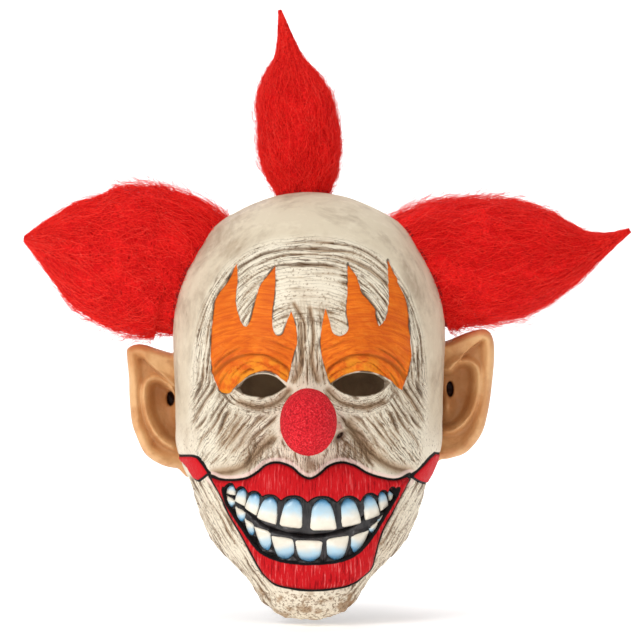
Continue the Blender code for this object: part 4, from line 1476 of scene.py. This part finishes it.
# Sections in mm, root to tip: centre x, centre z, half width and half depth; then the tip.
TUFTS = {
    "top": (
        (-4, 118, 16, 13), (-4, 127, 18, 15), (-4.5, 138, 23, 20), (-6, 154, 27, 23), (-7.5, 173, 26.5, 23),
        (-10.5, 189, 24.5, 21), (-12.5, 203, 17.5, 15), (-13.5, 214, 9.5, 8.5), (-16, 230, 4, 4), (-19,
            245, 0.8, 0.8),
    ),
    "left": (
        (-62, 65, 36, 28), (-74, 72.5, 44, 34), (-85, 79, 48, 37), (-102, 82.5, 51, 38), (-119, 85.5, 49.5,
            37),
        (-136, 88, 42.5, 33), (-152, 92, 32, 26), (-168, 95, 17, 14), (-184, 97.5, 1, 1),
    ),
    "right": (
        (60, 67, 37, 28), (71, 75.5, 42, 34), (83, 80, 43.5, 36), (101, 82.5, 43, 37), (120, 83.5, 42, 36),
        (139, 85.5, 38, 32), (155, 87, 30.5, 26), (168, 88.5, 21.5, 18), (181, 91.5, 11.5, 10), (193, 96,
            5.5, 5), (207, 103, 1, 1),
    ),
}
TUFT_Y = 12.0
STRAND_RADIUS = 0.17


def tuft_place(sections, along, turn, reach):
    """Points of a tuft in mm: along it from 0 to 1, round it, and out from its middle line."""
    rows = np.array(sections, float)
    steps = np.linalg.norm(np.diff(rows[:, :2], axis=0), axis=1)
    knots = np.concatenate([[0], np.cumsum(steps)]) / steps.sum()
    x, z, half_width, half_depth = (hermite(along, knots, rows[:, i]) for i in range(4))
    before, after = np.clip(along - 0.02, 0, 1), np.clip(along + 0.02, 0, 1)
    ahead_x, ahead_z = (hermite(after, knots, rows[:, i]) - hermite(before, knots,
        rows[:, i]) for i in range(2))
    sideways = reach * half_width * np.cos(turn) / np.hypot(ahead_x, ahead_z)
    y = TUFT_Y + reach * half_depth * np.sin(turn)
    return np.stack([x + ahead_z * sideways, y, z - ahead_x * sideways], axis=-1)


def tuft_core(name, sections):
    """The dense inside of a tuft: a closed, lumpy form with streaks that run towards the tip."""
    rows, turns = ((150, 160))
    steps = np.arange(turns) * 2 * math.pi / turns
    along, turn = np.meshgrid(np.linspace(0.0, 0.93, rows), steps, indexing="ij")
    along, turn = along.ravel(), turn.ravel()
    streaks = noise(turn * 9 / math.pi, along * 7, len(sections))
    fine = noise(turn * 26 / math.pi, along * 16, 7 + len(sections))
    points = tuft_place(sections, along, turn, 0.92 + 0.07 * streaks + 0.05 * fine)
    points += np.random.default_rng(SEED).normal(0, 0.35, points.shape) * ramp(along, 0.01, 0.06)[:, None]
    index = np.arange(rows * turns).reshape(rows, turns)
    beside = np.roll(index, -1, axis=1)
    points = np.concatenate([points, [points[index[0]].mean(axis=0), points[index[-1]].mean(axis=0)]])
    caps = [(beside[0, i], len(points) - 2, index[0, i]) for i in range(turns)]
    caps += [(index[-1, i], len(points) - 1, beside[-1, i]) for i in range(turns)]
    triangles = np.concatenate([grid_triangles(index, True)[:, ::-1], np.array(caps)])
    obj = mesh_object(name, points * MM, triangles)
    add_value(obj, "shade", np.concatenate([0.25 + 0.5 * streaks, [0.2, 0.2]]))
    return obj


def strand_paths(sections, count, draw):
    """Frizzy strands in mm, each a row of points: they start inside the tuft and run towards its tip."""
    steps = 11
    reach = draw.uniform(0.5, 1, count) ** 0.30
    turn = draw.uniform(0, 2 * math.pi, count)
    start = draw.uniform(-0.02, 0.88, count)
    span = draw.uniform(0.07, 0.20, count)
    fly = draw.uniform(0, 1, count) < 0.20
    share = np.linspace(0, 1, steps)
    along = start[:, None] + span[:, None] * share
    outward = 0.97 + 0.09 * share[None] * draw.uniform(-0.5, 1, (count, 1))
    outward += fly[:, None] * draw.uniform(0.04, 0.24, (count, 1)) * share[None] ** 1.2
    swirl = draw.normal(0, 0.22, (count, 1)) * share[None]
    points = tuft_place(sections, np.clip(along, 0, 0.995), turn[:, None] + swirl, reach[:, None] * outward)
    size = draw.uniform(0.3, 1.3, (count, 1, 3)) * np.where(fly, 2.0, 1.0)[:, None, None]
    wave = size * np.sin(
        draw.uniform(7, 14, (count, 1, 3)) * share[None, :, None] + draw.uniform(0, 2 * math.pi,
            (count, 1, 3))
    )
    thin = np.clip(1.15 - along, 0.25, 1)[:, :, None]
    return points + wave * thin + draw.normal(0, 0.25, points.shape) * thin, reach, fly


def strand_mesh(name, paths, radii, shades):
    """Closed three-sided tubes along the paths, thinner towards both ends."""
    count, steps, _ = paths.shape
    ahead = np.gradient(paths, axis=1)
    ahead /= np.linalg.norm(ahead, axis=2, keepdims=True) + 1e-9
    side = np.cross(ahead, np.array([0.31, 0.87, -0.38]))
    side /= np.linalg.norm(side, axis=2, keepdims=True) + 1e-9
    other = np.cross(ahead, side)
    taper = np.clip(np.sin(np.linspace(0.25, math.pi - 0.12, steps)), 0.12, 1) ** 0.6
    rings = []
    for corner in range(3):
        angle = corner * 2 * math.pi / 3
        rings.append(paths + (side * math.cos(angle) + other * math.sin(angle)) * (radii[:,
            None] * taper[None])[:, :, None])
    points = np.stack(rings, axis=2)
    index = np.arange(count * steps * 3).reshape(count, steps, 3)
    beside = np.roll(index, -1, axis=2)
    a, b, c, d = index[:, :-1], beside[:, :-1], beside[:, 1:], index[:, 1:]
    triangles = [np.stack([a, b, c], axis=-1).reshape(-1, 3), np.stack([a, c, d], axis=-1).reshape(-1, 3)]
    triangles += [index[:, 0, ::-1], index[:, -1]]
    obj = mesh_object(name, points.reshape(-1, 3) * MM, np.concatenate(triangles))
    add_value(obj, "shade", np.repeat(shades, steps * 3))
    return obj


def make_hair():
    # The core's reds are a little darker than the strands': painted shade inside the tuft.
    outer_fibre = hair_fibre("red_hair_strands", srgb(216, 6, 10), srgb(252, 48, 38))
    inner_fibre = hair_fibre("red_hair_core", srgb(200, 3, 8), srgb(244, 32, 26))
    layers = 3
    per_layer = 2900
    for number, (side, sections) in enumerate(TUFTS.items()):
        core = tuft_core(side + "_tuft_core", sections)
        core.data.materials.append(inner_fibre)
        pieces = [core]
        for layer in range(layers):
            draw = np.random.default_rng(SEED + 10 * number + layer)
            paths, reach, fly = strand_paths(sections, per_layer, draw)
            radii = STRAND_RADIUS * draw.uniform(0.6, 1.2, per_layer) * np.where(fly, 0.7, 1.0)
            # Strands are lighter the further out they lie: painted light on the outside of the tuft, with
            # random spread.
            shades = np.clip(0.25 + 0.5 * reach**3 + draw.normal(0, 0.22, per_layer), 0, 1)
            strands = strand_mesh(f"{side}_tuft_strands_{layer + 1}", paths, radii, shades)
            strands.data.materials.append(outer_fibre)
            pieces.append(strands)
        for piece in pieces:
            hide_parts(side + "_hair_tuft")
            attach(piece, "skull")


# ---------------------------------------------------------------- studio

LIT_PLACE = (0, 0, 0.03)
SWEEP = 1.2


def area_light(name, place, size, watts):
    light = bpy.data.lights.new(name, "AREA")
    light.shape = "DISK"
    light.size, light.energy = size, watts
    obj = bpy.data.objects.new(name, light)
    obj.location = place
    obj.rotation_euler = (Vector(LIT_PLACE) - obj.location).to_track_quat("-Z", "Y").to_euler()
    bpy.context.scene.collection.objects.link(obj)


def make_backdrop():
    """A pale floor that curves up behind the mask."""
    turns = np.linspace(0.1, math.pi / 2, 14)
    profile = [(-3.0, 0),
        (SWEEP, 0)] + [(SWEEP * (1 + math.sin(t)), SWEEP * (1 - math.cos(t))) for t in turns]
    profile.append((2 * SWEEP, 4.0))
    low = cad_box[0].z - 0.004
    places = [(x, y, low + z) for x in np.linspace(-4, 4, 9) for y, z in profile]
    index = np.arange(len(places)).reshape(9, len(profile))
    floor = mesh_object("studio_floor", np.array(places), grid_triangles(index, False)[:, ::-1])
    floor.data.materials.append(floor_paint())


def make_studio():
    area_light("key", (-1.4, -1.9, 1.3), 1.2, 33)
    area_light("fill", (1.2, -2.0, 0.3), 1.6, 6)
    area_light("top", (0.2, 0.4, 2.0), 1.5, 12)
    area_light("rim", (-0.6, 1.8, 1.2), 1.4, 9)
    world = bpy.data.worlds.new("studio_air")
    world.use_nodes = True
    background = world.node_tree.nodes["Background"]
    background.inputs["Color"].default_value = (1, 1, 1, 1)
    background.inputs["Strength"].default_value = 0.42
    bpy.context.scene.world = world
    camera = bpy.data.objects.new("camera", bpy.data.cameras.new("camera"))
    camera.data.sensor_width = 36
    camera.data.lens = 175.8
    camera.location = (0.007, -2.0, 0.045)
    camera.rotation_euler = (math.pi / 2, 0, 0)
    bpy.context.scene.collection.objects.link(camera)
    bpy.context.scene.camera = camera
    bpy.context.scene.view_settings.view_transform = "Standard"


def dress_cad_nodes():
    dyed = woven_gauze("dyed_weft_gauze", srgb(206, 18, 20), srgb(140, 6, 10))
    plain = woven_gauze("plain_gauze", srgb(214, 204, 180), srgb(160, 146, 118))
    cloths = {"top_hair_weft": dyed, "left_hair_weft": dyed, "right_hair_weft": dyed,
        "slit_reinforcement": plain}
    for obj in bpy.context.scene.objects:
        if obj.name in cloths:
            obj.data.materials.clear()
            obj.data.materials.append(cloths[obj.name])


make_skin()
make_teeth()
make_ears()
make_nose()
make_hair()
dress_cad_nodes()
make_backdrop()
make_studio()
